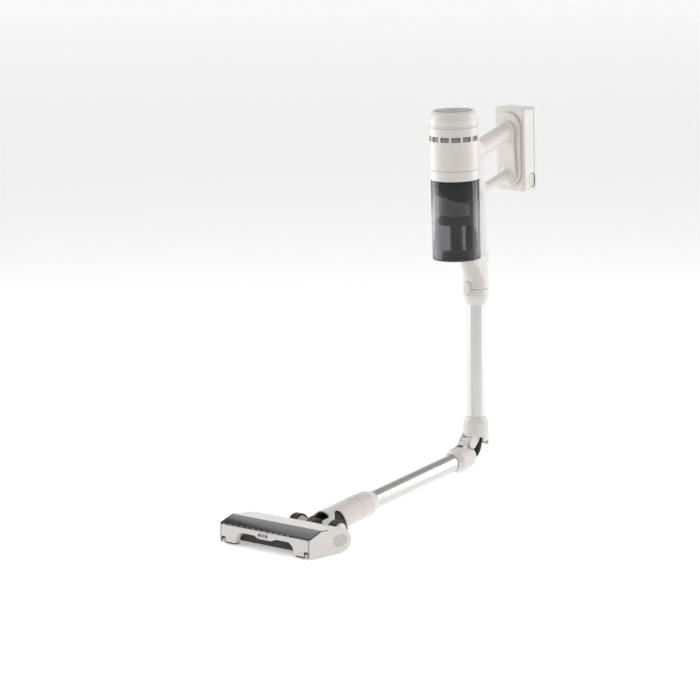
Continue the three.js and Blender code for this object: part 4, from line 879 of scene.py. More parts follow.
def build_tubes():
    for name, node, local, body, metal in (
        ("tube_upright", "upper_tube", WAND, "wand_upper", upright_metal),
        ("tube_sloping", "lower_tube", LOW, "wand_lower", sloping_metal),
    ):
        low, high = local.box(node)
        axis = 2 if local is WAND else 1
        start, end = low[axis], high[axis]
        mesh = lathed([(TUBE_R - 1.4, start), (TUBE_R, start), (TUBE_R, end), (TUBE_R - 1.4, end)], 128)
        if axis == 1:
            mesh = axis_along_y(mesh)
        place(name, mesh, local, body, metal, [node], sharp=40)


def build_couplings():
    low = WAND.box("upper_coupling")[0][2]
    high = NECK_SEAM + SPIGOT
    g = grid((-SLEEVE_R, -SLEEVE_R, low), (SLEEVE_R, SLEEVE_R, high), 0.8)
    x, y, z = g
    rho = np.hypot(x, y)
    profile = filleted(
        [(BORE, low), (MOUTH, low), (SLEEVE_R, low + COUPLING_TAPER), (SLEEVE_R, NECK_SEAM),
         (SPIGOT_R, NECK_SEAM), (SPIGOT_R, high), (LINED, high), (LINED, low + TUBE_INSET),
         (BORE, low + TUBE_INSET)],
        [0, 0.4, 6, 0.6, 0, 0.8, 0, 0, 0])
    slot = tall_slot(x, z, NECK_SEAM + KEY_SHIFT, KEY_CLEAR)
    notch = np.maximum(np.maximum(slot, KEY_SEAT - rho), y)
    field = less(outline(rho, z, profile), notch, 0.4)
    shell("coupling_upper", field, g, WAND, "wand_upper", ["upper_coupling"])

    low = HEAD_SEAM - SPIGOT
    high = LOW.box("lower_coupling")[1][1]
    g = grid((-SLEEVE_R, low, -SLEEVE_R), (SLEEVE_R, high, SLEEVE_R), 0.8)
    x, s, n = g
    rho = np.hypot(x, n)
    profile = filleted(
        [(SPIGOT_R, low), (SPIGOT_R, HEAD_SEAM), (SLEEVE_R, HEAD_SEAM), (SLEEVE_R, high - COUPLING_TAPER),
         (MOUTH, high), (BORE, high), (BORE, high - TUBE_INSET), (LINED, high - TUBE_INSET), (LINED, low)],
        [0.8, 0, 0.6, 6, 0.4, 0, 0, 0, 0])
    slot = tall_slot(x, s, HEAD_SEAM - KEY_SHIFT, KEY_CLEAR)
    notch = np.maximum(np.maximum(slot, KEY_SEAT - rho), -n)
    field = less(outline(rho, s, profile), notch, 0.4)
    shell("coupling_lower", field, g, LOW, "wand_lower", ["lower_coupling"])


def build_yoke():
    g = grid((-26, PIN[1] - 11, UPPER_RIM - 22), (26, 26, UPPER_MOUTH), 0.7)
    x, y, z = g
    rho = np.hypot(x, y)
    profile = filleted([(BORE, UPPER_RIM), (SLEEVE_R, UPPER_RIM), (SLEEVE_R, UPPER_MOUTH - 11),
                        (MOUTH, UPPER_MOUTH), (BORE, UPPER_MOUTH)], [0, 1.2, 4, 0.4, 0])
    collar = outline(rho, z, profile)
    web = capsule(y, z, PIN[1:], (-11.5, UPPER_RIM + 5), KNUCKLE_R)
    beside = KNUCKLE_R + GAP
    ears = both(web, slab(np.abs(x), beside, beside + EAR_THICK), 2.2)
    around = np.arctan2(x, y) * SLEEVE_R
    sleeve = slab(rho, SLEEVE_R - 3, SLEEVE_R)
    lug = both(rounded_rect(around, z, (0, UPPER_RIM - 8), 50, 24, 6), sleeve, 0.9)
    skirt = both(both(sleeve, slab(z, UPPER_RIM - 8.5, UPPER_RIM + 2), 0.9), -6 - y, 0.9)
    field = either(either(collar, either(lug, skirt, 0.8), 0.5), ears, 2.0)
    field = less(field, rho - BORE, 0.5)
    for side in (-1, 1):
        screw = np.hypot(x - side * 13.6, z - PIN[2] + 4.5) - 1.5
        field = less(field, np.maximum(screw, y - PIN[1] + 6), 0.3)
    eye = np.hypot(y - PIN[1], z - PIN[2])
    field = less(field, np.maximum(eye - KNUCKLE_R - 0.9, np.abs(x) - KNUCKLE_R - 0.2))
    bore = np.maximum(eye - PIN_BORE, np.abs(x) - KNUCKLE_R - 5)
    shell("yoke", less(field, bore), g, WAND, "wand_upper", ["fold_yoke"])
    half = KNUCKLE_R + 4.5
    shaft = filleted([(0, -half), (PIN_R, -half), (PIN_R, half), (0, half)], [0, 0.4, 0.4, 0])
    shaft = axis_along_x(lathed(shaft, 48), 1, (0, PIN[1], PIN[2]))
    place("fold_pin_shaft", shaft, WAND, "wand_upper", steel, ["fold_pin"], sharp=40)


def bar_shape(x, s, n):
    """The knuckle's bar, from the fold pin down into the lower collar."""
    end = (LOW_PIN[1] - 20, SLEEVE_R - 11)
    return both(capsule(s, n, LOW_PIN[1:], end, KNUCKLE_R), np.abs(x) - KNUCKLE_R, 1.2)


def build_knuckle():
    mouth = LOW.box("fold_knuckle")[0][1]
    rear = LOW_PIN[1] - 0.7
    g = grid((-26, mouth, -26), (26, LOW_PIN[1] + 11, LOW_PIN[2] + 11), 0.7)
    x, s, n = g
    rho = np.hypot(x, n)
    profile = filleted(
        [(MOUTH, mouth), (SLEEVE_R, mouth + 11), (SLEEVE_R, rear - 13), (SLEEVE_R - 3.8, rear - 10),
         (SLEEVE_R - 4.4, rear), (TUBE_R - 1, rear), (TUBE_R - 1, mouth + TUBE_INSET),
         (BORE, mouth + TUBE_INSET), (BORE, mouth)],
        [0.4, 4, 2.5, 2, 1, 0, 0, 0, 0])
    field = either(outline(rho, s, profile), bar_shape(x, s, n), 3.5)
    eye = np.hypot(s - LOW_PIN[1], n - LOW_PIN[2])
    beside = np.maximum(eye - KNUCKLE_R - 0.8, KNUCKLE_R - np.abs(x))
    field = less(less(field, beside, 0.5), rho - TUBE_R + 1, 0.5)
    key_low, key_high = LOW.box("fold_button")
    middle = (0, (key_low[2] + key_high[2]) / 2)
    width, height = key_high[0] - key_low[0], key_high[2] - key_low[2]
    pocket = rounded_rect(x, n, middle, width + 0.8, height + 0.8, 2.6)
    pocket = np.maximum(pocket, s - key_high[1] - 2)
    field = less(less(field, pocket, 0.4), eye - PIN_BORE)
    shell("knuckle", field, g, LOW, "wand_lower", ["fold_knuckle"])
    g = grid(key_low - (0, 9, 0), key_high + (0, 1.2, 0), 0.45)
    x, s, n = g
    whole = either(outline(np.hypot(x, n), s, profile), bar_shape(x, s, n), 3.5)
    key = both(rounded_rect(x, n, middle, width, height, 2.4), whole, 0.4)
    key_cap("fold_key_cap", key, g, LOW, "fold_key", "fold_button")


HOSE_R, HOSE_WAVE, HOSE_PITCH = 12.3, 1.0, 3.6


def build_hose():
    """The corrugated hose: down the upper wand, round the fold pin and into the lower wand."""
    radius = -PIN[1]
    sweep = math.pi / 2 - LOW_SLOPE
    arc = [(radius * (math.cos(a) - 1), PIN[2] + radius * math.sin(a)) for a in np.linspace(0, -sweep, 30)]
    direction = np.array([-math.cos(LOW_SLOPE), -math.sin(LOW_SLOPE)])
    end = np.array(arc[-1])
    straight = [tuple(end + direction * d) for d in np.linspace(1, 22, 10)]
    route = np.array([(0, z) for z in np.linspace(PIN[2] + 26, PIN[2] + 1, 12)] + arc + straight)
    lengths = np.concatenate([[0], np.cumsum(np.linalg.norm(np.diff(route, axis=0), axis=1))])
    at = np.arange(0, lengths[-1], 0.55)
    y, z = (np.interp(at, lengths, route[:, i]) for i in (0, 1))
    centres = np.column_stack([np.zeros_like(y), y, z])
    radii = HOSE_R + HOSE_WAVE * np.cos(2 * math.pi * at / HOSE_PITCH)
    hose = swept(centres, radii, 48)
    hose = place("corrugated_hose", hose, WAND, None, rubber, ["fold_hose"])
    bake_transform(hose)


# ---------------------------------------------------------------- swivel neck
PIVOT = LOW.into(joint_point("neck_tilt") * MM)
PIVOT[0] = 0
BALL_R = 18.5
ARM_OUTLINE = [(39.6, 32), (39.6, 20.5), (33, 18.5), (27, 12), (22, 5), (13, -3), (9, -12), (-10.4, -7),
               (-11, 2), (-7, 13), (2, 21), (9, 26), (10, 32)]
ARM_CORNERS = [0, 1, 5, 6, 6, 8, 4, 5, 6, 6, 6, 4, 0]
ARCH_OUTLINE = [(130, 32), (130, -32), (63.5, -32), (61, -17), (54, -5), (50, 5), (48.5, 13), (45, 18.5),
                (39, 20.5), (39, 32)]
ARCH_CORNERS = [0, 0, 0, 12, 12, 12, 6, 5, 1, 0]


def build_neck():
    s0, n0 = PIVOT[1], PIVOT[2]
    inner, socket = SLEEVE_R - 3.2, SPIGOT_R + 0.4
    top, seat = HEAD_SEAM - GAP, HEAD_SEAM - SPIGOT
    g = grid((-26, s0 - 12, -26), (26, HEAD_SEAM, 26), 0.8)
    x, s, n = g
    rho = np.hypot(x, n)
    tube = filleted([(inner, s0 - 14), (SLEEVE_R, s0 - 14), (SLEEVE_R, top), (socket, top),
                     (socket, seat - 1), (inner, seat - 3)], [0, 0, 0.6, 0, 0, 0])

    def from_pivot(points, corners):
        return outline(s, n, filleted([(s0 + a, b) for a, b in points], corners))

    barrel, arms = from_pivot(ARCH_OUTLINE, ARCH_CORNERS), from_pivot(ARM_OUTLINE, ARM_CORNERS)
    field = both(outline(rho, s, tube), either(barrel, arms, 1.0), 0.9)
    reach = np.hypot(s - s0, n - n0)
    field = either(field, both(reach - 11, slab(np.abs(x), 20, SLEEVE_R - 0.4), 1.0), 2)
    window = np.maximum(rounded_rect(x, s, (0, s0 - 11.25), 38.8, 57.5, 6), -n)
    field = less(less(field, window, 0.8), sphere(x, s, n, PIVOT, BALL_R + 0.9))
    field = less(field, np.maximum(reach - PIN_BORE, np.abs(x) - 40))
    slot = tall_slot(x, s, HEAD_SEAM - KEY_SHIFT, KEY_CLEAR)
    pocket = np.maximum(np.maximum(slot, KEY_SEAT - rho), -n)
    shell("neck_shell", less(field, pocket, 0.4), g, LOW, "neck", ["neck_barrel"])

    low, high = LOW.box("neck_liner")
    g = grid(low, high, 0.8)
    x, s, n = g
    rho = np.hypot(x, n)
    ribbed = inner - 2.6 + 0.5 * np.cos(2 * math.pi * s / 4.2)
    field = np.maximum(np.maximum(ribbed - rho, rho - inner + GAP), slab(s, low[1], high[1]))
    field = less(field, sphere(x, s, n, PIVOT, 27), 0.5)
    place("liner", surface(field, g), LOW, "neck", rubber, ["neck_liner"])

    low, high = LOW.box("head_button")
    middle = HEAD_SEAM - KEY_SHIFT
    g = grid(low, high, 0.5)
    x, s, n = g
    crown = np.hypot(x, n) - high[2]
    key = both(tall_slot(x, s, middle), np.maximum(crown, low[2] - n), 1.4)
    key = less(key, sphere(x, s, n, (0, middle, high[2] + 27), 27.3), 0.6)
    key_cap("head_key_cap", key, g, LOW, "head_key", "head_button")


WHEEL_R = axle[2] - floor_z
AXLE_R = 4


def build_cradle():
    low, high = HEAD.box("cradle")
    g = grid((-37, low[1], low[2]), (37, high[1], high[2]), 0.8)
    x, y, z = g
    tall, flat = slab(z, WHEEL_R - 12, WHEEL_R + 10), slab(z, WHEEL_R - 12, WHEEL_R - 2)
    plate = both(slab(x, -19, 19), np.maximum(slab(y, -27, -22), tall), 1.5)
    link = both(slab(x, -34, 34), np.maximum(slab(y, -27, -20), flat), 1.5)
    cheek = capsule(y, z, (0, WHEEL_R), (-22, WHEEL_R - 5), 8.8, 5.8)
    cheek = both(cheek, slab(np.abs(x), 28, 34), 1.2)
    round_y = np.hypot(x, z - WHEEL_R)
    spigot = both(round_y - 16, slab(y, -44.5, -22.5), 0.5)
    flange = both(round_y - 16.8, slab(y, -46, -43), 0.5)
    round_x = np.hypot(y, z - WHEEL_R)
    studs = np.maximum(round_x - 3.2, slab(np.abs(x), 19, 30))
    axles = np.maximum(round_x - AXLE_R, slab(np.abs(x), 33, 37.5))
    field = either(either(either(plate, link, 1), cheek, 1.5), either(spigot, flange, 0.4))
    field = either(either(field, studs, 0.8), axles)
    field = less(field, np.maximum(round_y - 13, y + 18))
    field = less(field, sphere(x, y, z, (0, 0, WHEEL_R), BALL_R + 0.3))
    axle_end = [(0, 37), (AXLE_R, 37), (AXLE_R, 55.3), (3.7, 55.5), (0, 55.5)]
    shafts = [axis_along_x(lathed(axle_end, 32), side, (0, 0, WHEEL_R)) for side in (-1, 1)]
    frame_mesh = joined([surface(field, g)] + shafts)
    place("cradle_frame", frame_mesh, HEAD, "cradle_body", dark, ["cradle"], sharp=50)

    g = grid((-18, -19, WHEEL_R - 19), (18, 19, WHEEL_R + 19), 0.7)
    x, y, z = g
    ball = both(sphere(x, y, z, (0, 0, WHEEL_R), BALL_R), np.abs(x) - 18, 0.6)
    airway = np.hypot(x, z - WHEEL_R) - 12
    ball = surface(less(ball, airway, 1.0), g)
    place("ball_joint", ball, HEAD, "cradle_body", rubber, ["swivel_ball"])


def build_wheels():
    near = HEAD.box("wheel_hub_right")[0][0]
    far = HEAD.box("tyre_right")[1][0] + 0.5
    hub_r, bore = WHEEL_R - 4.5, AXLE_R + GAP
    hub = filleted(
        [(bore, near), (hub_r, near), (hub_r, far - 0.3), (hub_r * 0.8, far + 2.1), (hub_r * 0.45, far + 3.3),
         (0, far + 3.75), (0, far - 3.4), (bore, far - 3.4)],
        [0, 0.3, 1.4, 6, 12, 0, 0, 0])
    shoulder = [(hub_r + GAP, 0.5), (WHEEL_R - 1.6, 0.5), (WHEEL_R - 0.5, 0.9), (WHEEL_R, 2)]
    tyre = [(r, near + inset) for r, inset in shoulder]
    start, end, count = near + 2.6, far - 2.6, 6
    for i in range(count):
        x = start + (end - start) * (i + 0.5) / count
        tyre += [(WHEEL_R, x - 0.55), (WHEEL_R - 0.5, x - 0.35)]
        tyre += [(WHEEL_R - 0.5, x + 0.35), (WHEEL_R, x + 0.55)]
    tyre += [(r, far - inset) for r, inset in reversed(shoulder)]
    for word, side in (("left", -1), ("right", 1)):
        body, at = f"wheel_{word}", (0, 0, WHEEL_R)
        disc = axis_along_x(lathed(hub, 96), side, at)
        place(f"hub_{word}", disc, HEAD, body, wheel_white, [f"wheel_hub_{word}"], sharp=50)
        tread = axis_along_x(lathed(tyre, 128), side, at)
        place(f"tread_{word}", tread, HEAD, body, tyre_rubber, [f"tyre_{word}"], sharp=35)


# ---------------------------------------------------------------- floor head
cap_box = HEAD.box("end_cap_right")
HEAD_HALF = cap_box[1][0]
CAP_THICK = HEAD_HALF - cap_box[0][0]
HEAD_FRONT, HEAD_REAR = cap_box[0][1], cap_box[1][1]
HEAD_LOW, ROOF = cap_box[0][2], cap_box[1][2]
FRONT_TOP = 39.1
REAR_MIDDLE = 23
ROOF_END = (-58, 46.5)
WINDOW_REAR = -114.0
ENTRY_HALF = 77.5
ROLLER_X, ROLLER_ROOM = 106.6, 12.5
MOUTH_HALF = [(71, 20), (62, 26.5), (28, 26.5), (16, 21.8)]
MOUTH_OUTLINE = MOUTH_HALF + [(-x, z) for x, z in reversed(MOUTH_HALF)]
SHELL_HALF = HEAD_HALF - CAP_THICK - GAP
BRUSH = HEAD.into(joint_point("brush_spin") * MM)
BRUSH_R, BRUSH_HALF = 19.4, 96.8


def bezier(a, b, c, d):
    t = np.linspace(0, 1, 9)[:, None]
    a, b, c, d = (np.array(p, float) for p in (a, b, c, d))
    curve = (1 - t) ** 3 * a + 3 * t * (1 - t) ** 2 * b + 3 * t * t * (1 - t) * c + t**3 * d
    return [tuple(p) for p in curve]


def head_outline(low):
    under = bezier((-51, low), (-38, low), (HEAD_REAR, 11), (HEAD_REAR, REAR_MIDDLE))
    over = bezier((HEAD_REAR, REAR_MIDDLE), (HEAD_REAR, 36), (-42, 45), ROOF_END)[1:]
    front = [(WINDOW_REAR, ROOF), (HEAD_FRONT, FRONT_TOP), (HEAD_FRONT, low + 1.5)]
    return [(HEAD_FRONT + 1.5, low)] + under + over + front


def window_section(grow):
    """The window's slab: it lies on the slope between the front edge and the roof."""
    front, rear = np.array([HEAD_FRONT, FRONT_TOP]), np.array([WINDOW_REAR, ROOF])
    run, rise = rear - front
    length = math.hypot(run, rise)
    slope, normal = (rear - front) / length, np.array([rise, -run]) / length
    depth = 2.2 + grow
    start, end = front - slope * grow * 20, rear + slope * grow
    return [tuple(start), tuple(start + normal * depth), tuple(end + normal * depth), tuple(end)]


def build_head_shell():
    low = HEAD.box("head_shell")[0][2]
    g = grid((-SHELL_HALF, HEAD_FRONT, low), (SHELL_HALF, HEAD_REAR, ROOF), 1.0)
    x, y, z = g
    field = both(outline(y, z, head_outline(low)), np.abs(x) - SHELL_HALF, 0.5)
    corners = [(-ENTRY_HALF, low - 3), (ENTRY_HALF, low - 3)] + MOUTH_OUTLINE
    mouth = outline(x, z, filleted(corners, [0, 0, 8, 6, 5, 5, 5, 5, 6, 8]))
    field = less(field, np.maximum(mouth, y - BRUSH[1]), 1.2)
    chamber = np.maximum(np.hypot(y - BRUSH[1], z - BRUSH[2]) - 21.5, np.abs(x) - 99)
    below = np.maximum(np.maximum(np.abs(y - BRUSH[1]) - 21.2, z - BRUSH[2]), np.abs(x) - 99)
    field = less(less(field, chamber), below)
    field = less(field, outline(y, z, window_section(GAP)), 0.3)
    notch = rounded_rect(np.abs(x), z, (ROLLER_X, 4), 10.6, 20, 2.5)
    field = less(field, np.maximum(notch, y - HEAD_FRONT - ROLLER_ROOM), 0.6)
    round_y = np.hypot(x, z - WHEEL_R)

    def hollow(xs, ys, zs):
        return np.maximum(np.maximum(slab(x, *xs), slab(y, *ys)), slab(z, *zs))

    swivel = np.maximum(round_y - 16.3, -60 - y)
    flange = np.maximum(round_y - 17.2, slab(y, -50.5, -40))
    passage = np.maximum(round_y - 13, slab(y, BRUSH[1], -55))
    room = hollow((-100, 100), (-85.5, -41), (9, 40))
    gears = hollow((SHELL_HALF - 11, SHELL_HALF + 2), (-124, -49.5), (7, 38))
    for cut in (swivel, flange, passage, room, gears):
        field = less(field, cut, 0.4)
    shell("head_casing", field, g, HEAD, "floor_head", ["head_shell"])


def drilled_panel(middle, half_y, half_z, side):
    """The flat of an end cap with its staggered holes, flush with the cap's face."""
    pitch, hole_r = 3.7, 1.1
    w, h = half_y + 1.8, half_z + 1.8
    edge = [(middle[0] + w * a, middle[1] + h * b) for a, b in ((-1, -1), (1, -1), (1, 1), (-1, 1))]
    loops = [filleted(edge, half_z, 10)]
    turns = np.linspace(0, 2 * math.pi, 12, endpoint=False)
    for row in range(-5, 6):
        for column in range(-7, 8):
            hy, hz = (column + 0.5 * (row % 2)) * pitch, row * pitch * 0.866
            if math.hypot(hy / half_y, hz / half_z) < 1:
                cy, cz = middle[0] + hy, middle[1] + hz
                loops.append([(cy + hole_r * math.cos(a), cz + hole_r * math.sin(a)) for a in turns])
    depths = side * (HEAD_HALF - 1.2), side * (HEAD_HALF - 0.02)
    flat = [p for loop in loops for p in loop]
    triangles = tessellate_polygon([[Vector((y, z, 0)) for y, z in loop] for loop in loops])
    n = len(flat)
    vertices = [(x, y, z) for x in depths for y, z in flat]
    faces = [[a, b, c] for a, b, c in triangles] + [[n + c, n + b, n + a] for a, b, c in triangles]
    start = 0
    for loop in loops:
        m = len(loop)
        for i in range(m):
            a, b = start + i, start + (i + 1) % m
            faces.append([a, b, n + b, n + a])
        start += m
    return np.array(vertices), faces


def on_front(mesh, out, up=0.0):
    """A flat mesh stood up against the front of the floor head."""
    vertices, faces = mesh
    return np.array([(vx, HEAD_FRONT - out - vz, up + vy) for vx, vy, vz in vertices]), faces


def build_end_caps():
    half_y, half_z = 20.0, 12.5
    middle = (-61.8, 24.2)
    wide, tall = 2 * half_y + 3, 2 * half_z + 3
    for word, side in (("left", -1), ("right", 1)):
        x0, x1 = sorted((side * HEAD_HALF, side * (HEAD_HALF - CAP_THICK)))
        g = grid((x0, HEAD_FRONT, HEAD_LOW), (x1, HEAD_REAR, ROOF), 0.6)
        x, y, z = g
        field = both(outline(y, z, head_outline(HEAD_LOW)), side * x - HEAD_HALF, 1.3)
        field = np.maximum(field, HEAD_HALF - CAP_THICK - side * x)
        panel_hole = rounded_rect(y, z, middle, wide, tall, half_z)
        field = less(field, np.maximum(panel_hole, HEAD_HALF - 1.8 - side * x))
        drilled = drilled_panel(middle, half_y, half_z, side)
        place(f"cap_panel_{word}", drilled, HEAD, "floor_head", white, sharp=40)
        field = less(field, outline(y, z, window_section(0.0001)), 0.2)
        vertices, faces = small_block((*middle, HEAD_HALF - 2.0), (wide, tall, 1.0), 12)
        backing = np.array([(side * vz, vy, vx) for vy, vx, vz in vertices]), faces
        place(f"cap_backing_{word}", backing, HEAD, "floor_head", rubber)
        corner = on_front(small_block((side * (HEAD_HALF - 1.1), 20.6, 0), (0.7, 35, 0.5), 0.3), 0.1)
        place(f"corner_seal_{word}", corner, HEAD, "floor_head", rubber)
        shell(f"cap_{word}", field, g, HEAD, "floor_head", [f"end_cap_{word}"])


def ribbon(section, x0, x1):
    """An outline in (y, z) drawn out along x."""
    n = len(section)
    vertices = [(x, y, z) for x in (x0, x1) for y, z in section]
    faces = [[i, (i + 1) % n, n + (i + 1) % n, n + i] for i in range(n)]
    faces += [list(range(n))[::-1], [n + i for i in range(n)]]
    return np.array(vertices), faces


def build_window():
    pane = ribbon(filleted(window_section(0), [0.9, 0.3, 0.3, 0.5]), -HEAD_HALF, HEAD_HALF)
    place("window_pane", pane, HEAD, "floor_head", window_dark, ["head_window"], sharp=50)
    y, z = WINDOW_REAR, ROOF
    strip = filleted([(y + 0.4, z - 1.6), (y + 2.3, z - 1.7), (y + 2.3, z + 0.02), (y + 0.4, z + 0.1)], 0.3)
    trim = [ribbon(strip, -HEAD_HALF, HEAD_HALF)]
    fall = (ROOF - ROOF_END[1]) / (WINDOW_REAR - ROOF_END[0])
    end = y + 20
    tail = [(y + 2, z + 0.05), (y + 2, z - 1.5), (end - 3, z + fall * 17 - 1.3), (end, z + fall * 20 - 0.4),
            (end, z + fall * 20)]
    for side in (-1, 1):
        trim.append(ribbon(tail, *sorted((side * HEAD_HALF, side * (HEAD_HALF - 1.2)))))
    place("window_trim", joined(trim), HEAD, "floor_head", glossy, sharp=50)
    teeth = [
        on_front(small_block((-104 + 15 * i, 0, 0), (7, 0.5, 0.5), 0.2), 0.1, FRONT_TOP - 0.2)
        for i in range(12)
    ]
    place("window_teeth", joined(teeth), HEAD, "floor_head", white, sharp=40)


def build_lamp():
    """A plain lamp plate over the middle of the mouth."""
    plate = on_front(small_block((-3.5, 29.4, 0), (27, 9.6, 0.5), 1.8), 0.1)
    place("lamp_plate", plate, HEAD, "floor_head", roller_grey, sharp=40)
    lenses = [
        on_front(small_block((x, 29.4, 0), (width, 4.6, 0.4), 0.8), 0.3)
        for x, width in ((-12.5, 6), (-4, 4), (5, 5))
    ]
    place("lamp_lenses", joined(lenses), HEAD, "floor_head", inner_grey, sharp=40)


def build_base():
    low, high = HEAD.box("base_plate")
    g = grid(low, high, 0.8)
    x, y, z = g
    plan = rounded_rect(x, y, (0, (low[1] + high[1]) / 2), 2 * high[0], high[1] - low[1], 4)
    field = both(plan, slab(z, low[2], high[2]), 0.7)
    mouth = rounded_rect(x, y, (0, BRUSH[1]), 192, 38.4, 3)
    notch = np.maximum(np.abs(np.abs(x) - ROLLER_X) - 5.3, y - HEAD_FRONT - ROLLER_ROOM)
    entry = np.maximum(np.abs(x) - ENTRY_HALF, y - BRUSH[1])
    field = surface(less(less(less(field, mouth, 0.7), notch, 0.5), entry, 0.7), g)
    place("sole_plate", field, HEAD, "floor_head", dark, ["base_plate"])
    for word in ("left", "right"):
        build_roller(word)


def build_roller(word):
    """A small front roller, with a dark lining in its notch that is painted shade."""
    low, high = HEAD.box(f"front_roller_{word}")
    middle = (low + high) / 2
    start, foot = HEAD_FRONT + 0.2, 4.2
    g = grid((middle[0] - 5.3, start, foot), (middle[0] + 5.3, HEAD_FRONT + ROLLER_ROOM, 14), 0.4)
    x, y, z = g
    # The dark shell that lines the notch is painted shade, where the white notch lies in shadow.
    arch = rounded_rect(x, z, (middle[0], 4), 10.5, 19.9, 2.4)
    inside = rounded_rect(x, z, (middle[0], 4), 9.3, 18.4, 2.0)
    block = both(arch, slab(y, start, HEAD_FRONT + 12.4), 0.2)
    notch_shade = np.maximum(less(block, np.maximum(inside, y - HEAD_FRONT - 11.6)), foot - z)
    place(f"roller_notch_shade_{word}", surface(notch_shade, g), HEAD, "floor_head", dark)
    half, radius = (high[0] - low[0]) / 2, (high[2] - low[2]) / 2
    shape = filleted([(0, -half), (radius, -half), (radius, half), (0, half)], [0, 1.6, 1.6, 0])
    wheel = axis_along_x(lathed(shape, 64), 1, middle)
    place(f"roller_{word}_wheel", wheel, HEAD, f"roller_{word}", roller_grey,
          [f"front_roller_{word}"], sharp=40)


def build_brush():
    rng = np.random.default_rng(7)
    g = grid((-97, BRUSH[1] - 20.2, BRUSH[2] - 20.2), (97, BRUSH[1] + 20.2, BRUSH[2] + 20.2), 0.9)
    x, y, z = g
    around = np.arctan2(z - BRUSH[2], -(y - BRUSH[1]))
    rho = np.hypot(y - BRUSH[1], z - BRUSH[2])
    lead = math.radians(-17) + (75 - np.abs(x)) * math.radians(1.6)

    def strip(offset, width, height):
        away = (around - lead - offset + math.pi) % (2 * math.pi) - math.pi
        return both(np.abs(away) * rho - width / 2, rho - height, 0.6)

    ends = slab(x, -BRUSH_HALF, BRUSH_HALF)
    nap = 0.35 * rng.random(rho.shape[1:])
    pile = rho - BRUSH_R - nap
    fins = either(strip(math.pi / 2, 4.5, 19.9), strip(-math.pi / 2, 4.5, 19.9))
    roll = surface(both(either(pile, fins, 1.0), ends, 0.8), g)
    low, high = HEAD.box("brush_roll")
    shaft = lathed([(0, low[0]), (4, low[0]), (4, 96), (4, 103.3), (8.6, 103.3), (8.6, high[0]),
                    (0, high[0])], 40)
    whole = joined([roll, axis_along_x(shaft, 1, (0, BRUSH[1], BRUSH[2]))])
    place("brush_pile", whole, HEAD, "brush", bristle, ["brush_roll"], sharp=50)
    stripes = either(strip(0, 2.6, 20.1), strip(math.pi, 2.6, 20.1))
    stripes = both(stripes, np.maximum(ends, 16.5 - rho), 0.3)
    place("brush_stripes", surface(stripes, g), HEAD, "brush", orange)


# ---------------------------------------------------------------- what stays from the frame
def dress_inner_parts():
    green = (0.03, 0.13, 0.07)
    board = moulded("circuit_board_green", green, 0.35, grain=0.00008, grain_scale=400, vary=0.15)
    paper = moulded("pleated_paper", (0.62, 0.61, 0.57), 0.8, grain=0.0002, grain_scale=900)
    foam = moulded("open_foam", (0.28, 0.29, 0.3), 0.9, grain=0.0006, grain_scale=600, vary=0.2)
    cells = moulded("cell_film", (0.05, 0.13, 0.3), 0.35, vary=0.05)
    alloy = drawn_metal("turned_alloy", (0.62, 0.62, 0.63), 0.28, (0, 0, 0))
    looks = {"circuit_board": board, "filter_paper": paper, "foam_grey": foam, "cell_wrap": cells,
             "motor_alloy": alloy, "black_rubber": rubber, "dark_plastic": dark, "steel": steel}
    slots = {part["node"]: part["material_slot"] for part in frame["record"]["subparts"]}
    for name, node in frame["nodes"].items():
        if not node.hide_render:
            node.data.materials.clear()
            node.data.materials.append(looks[slots[name]])


# ---------------------------------------------------------------- stage, light and camera
AZIMUTH, ELEVATION, ROLL = (math.radians(a) for a in (42.64, 9.55, -0.34))
TARGET = WAND.out([[-13.55, -351.77, 346.85]])[0]
DISTANCE = 6.7292


def plain(name, color, roughness):
    g = Graph(name)
    g.mixed(g.noise(g.where, 1.5), shaded(color, 0.995), color)
    g.spread(g.noise(g.where, 4), roughness * 0.95, roughness, g.shader.inputs["Roughness"])
    g.set(Emission_Color=(1, 1, 1, 1), Emission_Strength=0.42)
    return g.material


def build_stage():
    """A pale floor that runs up into a backdrop far behind."""
    reach, radius, steps = 14.0, 4.0, 16
    profile = [(-reach, 0.0)]
    bend = np.linspace(0, math.pi / 2, steps)
    profile += [(reach + radius * math.sin(a), radius * (1 - math.cos(a))) for a in bend]
    profile += [(reach + radius, reach)]
    data = bpy.data.meshes.new("floor")
    vertices = [(x, y, z) for x in (-30, 30) for y, z in profile]
    n = len(profile)
    data.from_pydata(vertices, [], [[i, i + 1, n + i + 1, n + i] for i in range(n - 1)])
    data.shade_smooth()
    data.materials.append(plain("pale_floor", (0.93, 0.93, 0.93), 0.9))
    floor = bpy.data.objects.new("floor", data)
    bpy.context.scene.collection.objects.link(floor)
    floor.rotation_euler = (0, 0, AZIMUTH)
    floor.location = (0, 0, floor_z * MM - 0.0005)


def area_light(name, place_at, facing, size, power):
    """A rectangular light that shines against the facing direction."""
    light = bpy.data.lights.new(name, "AREA")
    light.shape = "RECTANGLE"
    light.size, light.size_y = size
    light.energy = power
    lamp = bpy.data.objects.new(name, light)
    lamp.location = place_at
    lamp.rotation_mode = "QUATERNION"
    lamp.rotation_quaternion = facing.to_track_quat("Z", "Y")
    bpy.context.scene.collection.objects.link(lamp)


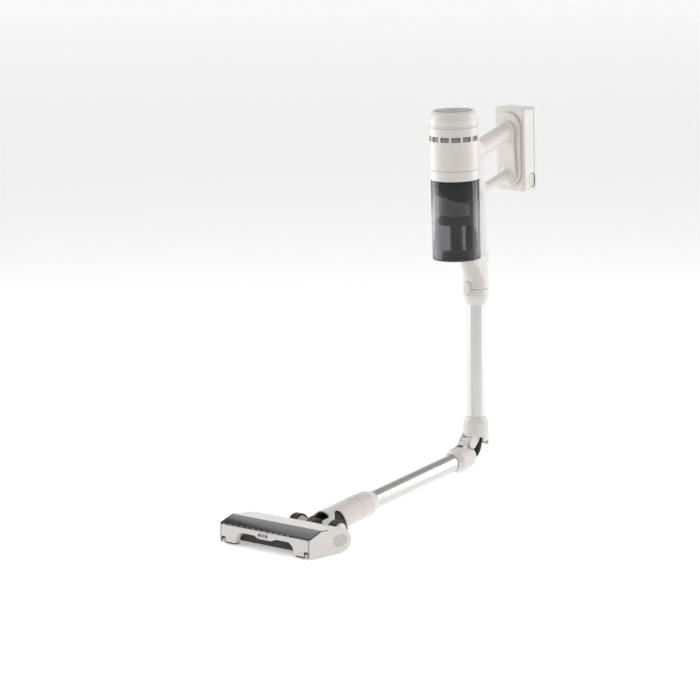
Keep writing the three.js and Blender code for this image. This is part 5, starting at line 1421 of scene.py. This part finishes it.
def away_from_front(azimuth, elevation):
    """The direction towards a place at this azimuth and elevation, in radians."""
    level = math.cos(elevation)
    return Vector((math.sin(azimuth) * level, -math.cos(azimuth) * level, math.sin(elevation)))


def panel(name, azimuth, elevation, distance, size, power):
    """A soft light facing the object; its azimuth is measured from the camera's side."""
    back = away_from_front(AZIMUTH + math.radians(azimuth), math.radians(elevation))
    area_light(name, Vector((0, -0.3, -0.2)) + back * distance, back, size, power)


def build_light():
    world = bpy.data.worlds.new("studio")
    world.use_nodes = True
    background = world.node_tree.nodes["Background"].inputs
    background["Color"].default_value = (1, 1, 1, 1)
    background["Strength"].default_value = 0.36
    bpy.context.scene.world = world
    panel("left_panel", -108, 12, 3.2, (2.2, 3.2), 50)
    panel("right_panel", 108, 12, 3.2, (2.2, 3.2), 50)
    panel("top_panel", 20, 72, 3.4, (3.2, 3.2), 34)
    seen = HEAD.out([[110, -130, 45]])[0]
    mirrored = Vector((-0.668, 0.4515, 0.592))
    area_light("window_glow", Vector(seen) + mirrored * 0.95, mirrored, (0.3, 0.5), 0.9)


def build_camera():
    data = bpy.data.cameras.new("camera")
    data.sensor_width = 36
    data.lens = 3540.4 / 700 * data.sensor_width
    data.clip_end = 100
    camera = bpy.data.objects.new("camera", data)
    back = away_from_front(AZIMUTH, ELEVATION)
    camera.location = Vector(TARGET) + back * DISTANCE
    camera.rotation_mode = "QUATERNION"
    turn = Matrix.Rotation(ROLL, 3, back) @ back.to_track_quat("Z", "Y").to_matrix()
    camera.rotation_quaternion = turn.to_quaternion()
    bpy.context.scene.collection.objects.link(camera)
    bpy.context.scene.camera = camera


build_cap()
build_housing()
build_collar()
build_cup()
build_handle()
build_wand_key()
build_dock()
build_battery()
build_tubes()
build_couplings()
build_yoke()
build_knuckle()
build_hose()
build_neck()
build_cradle()
build_wheels()
build_head_shell()
build_end_caps()
build_window()
build_lamp()
build_base()
build_brush()
dress_inner_parts()
build_stage()
build_light()
build_camera()

bpy.context.scene.view_settings.view_transform = "Standard"
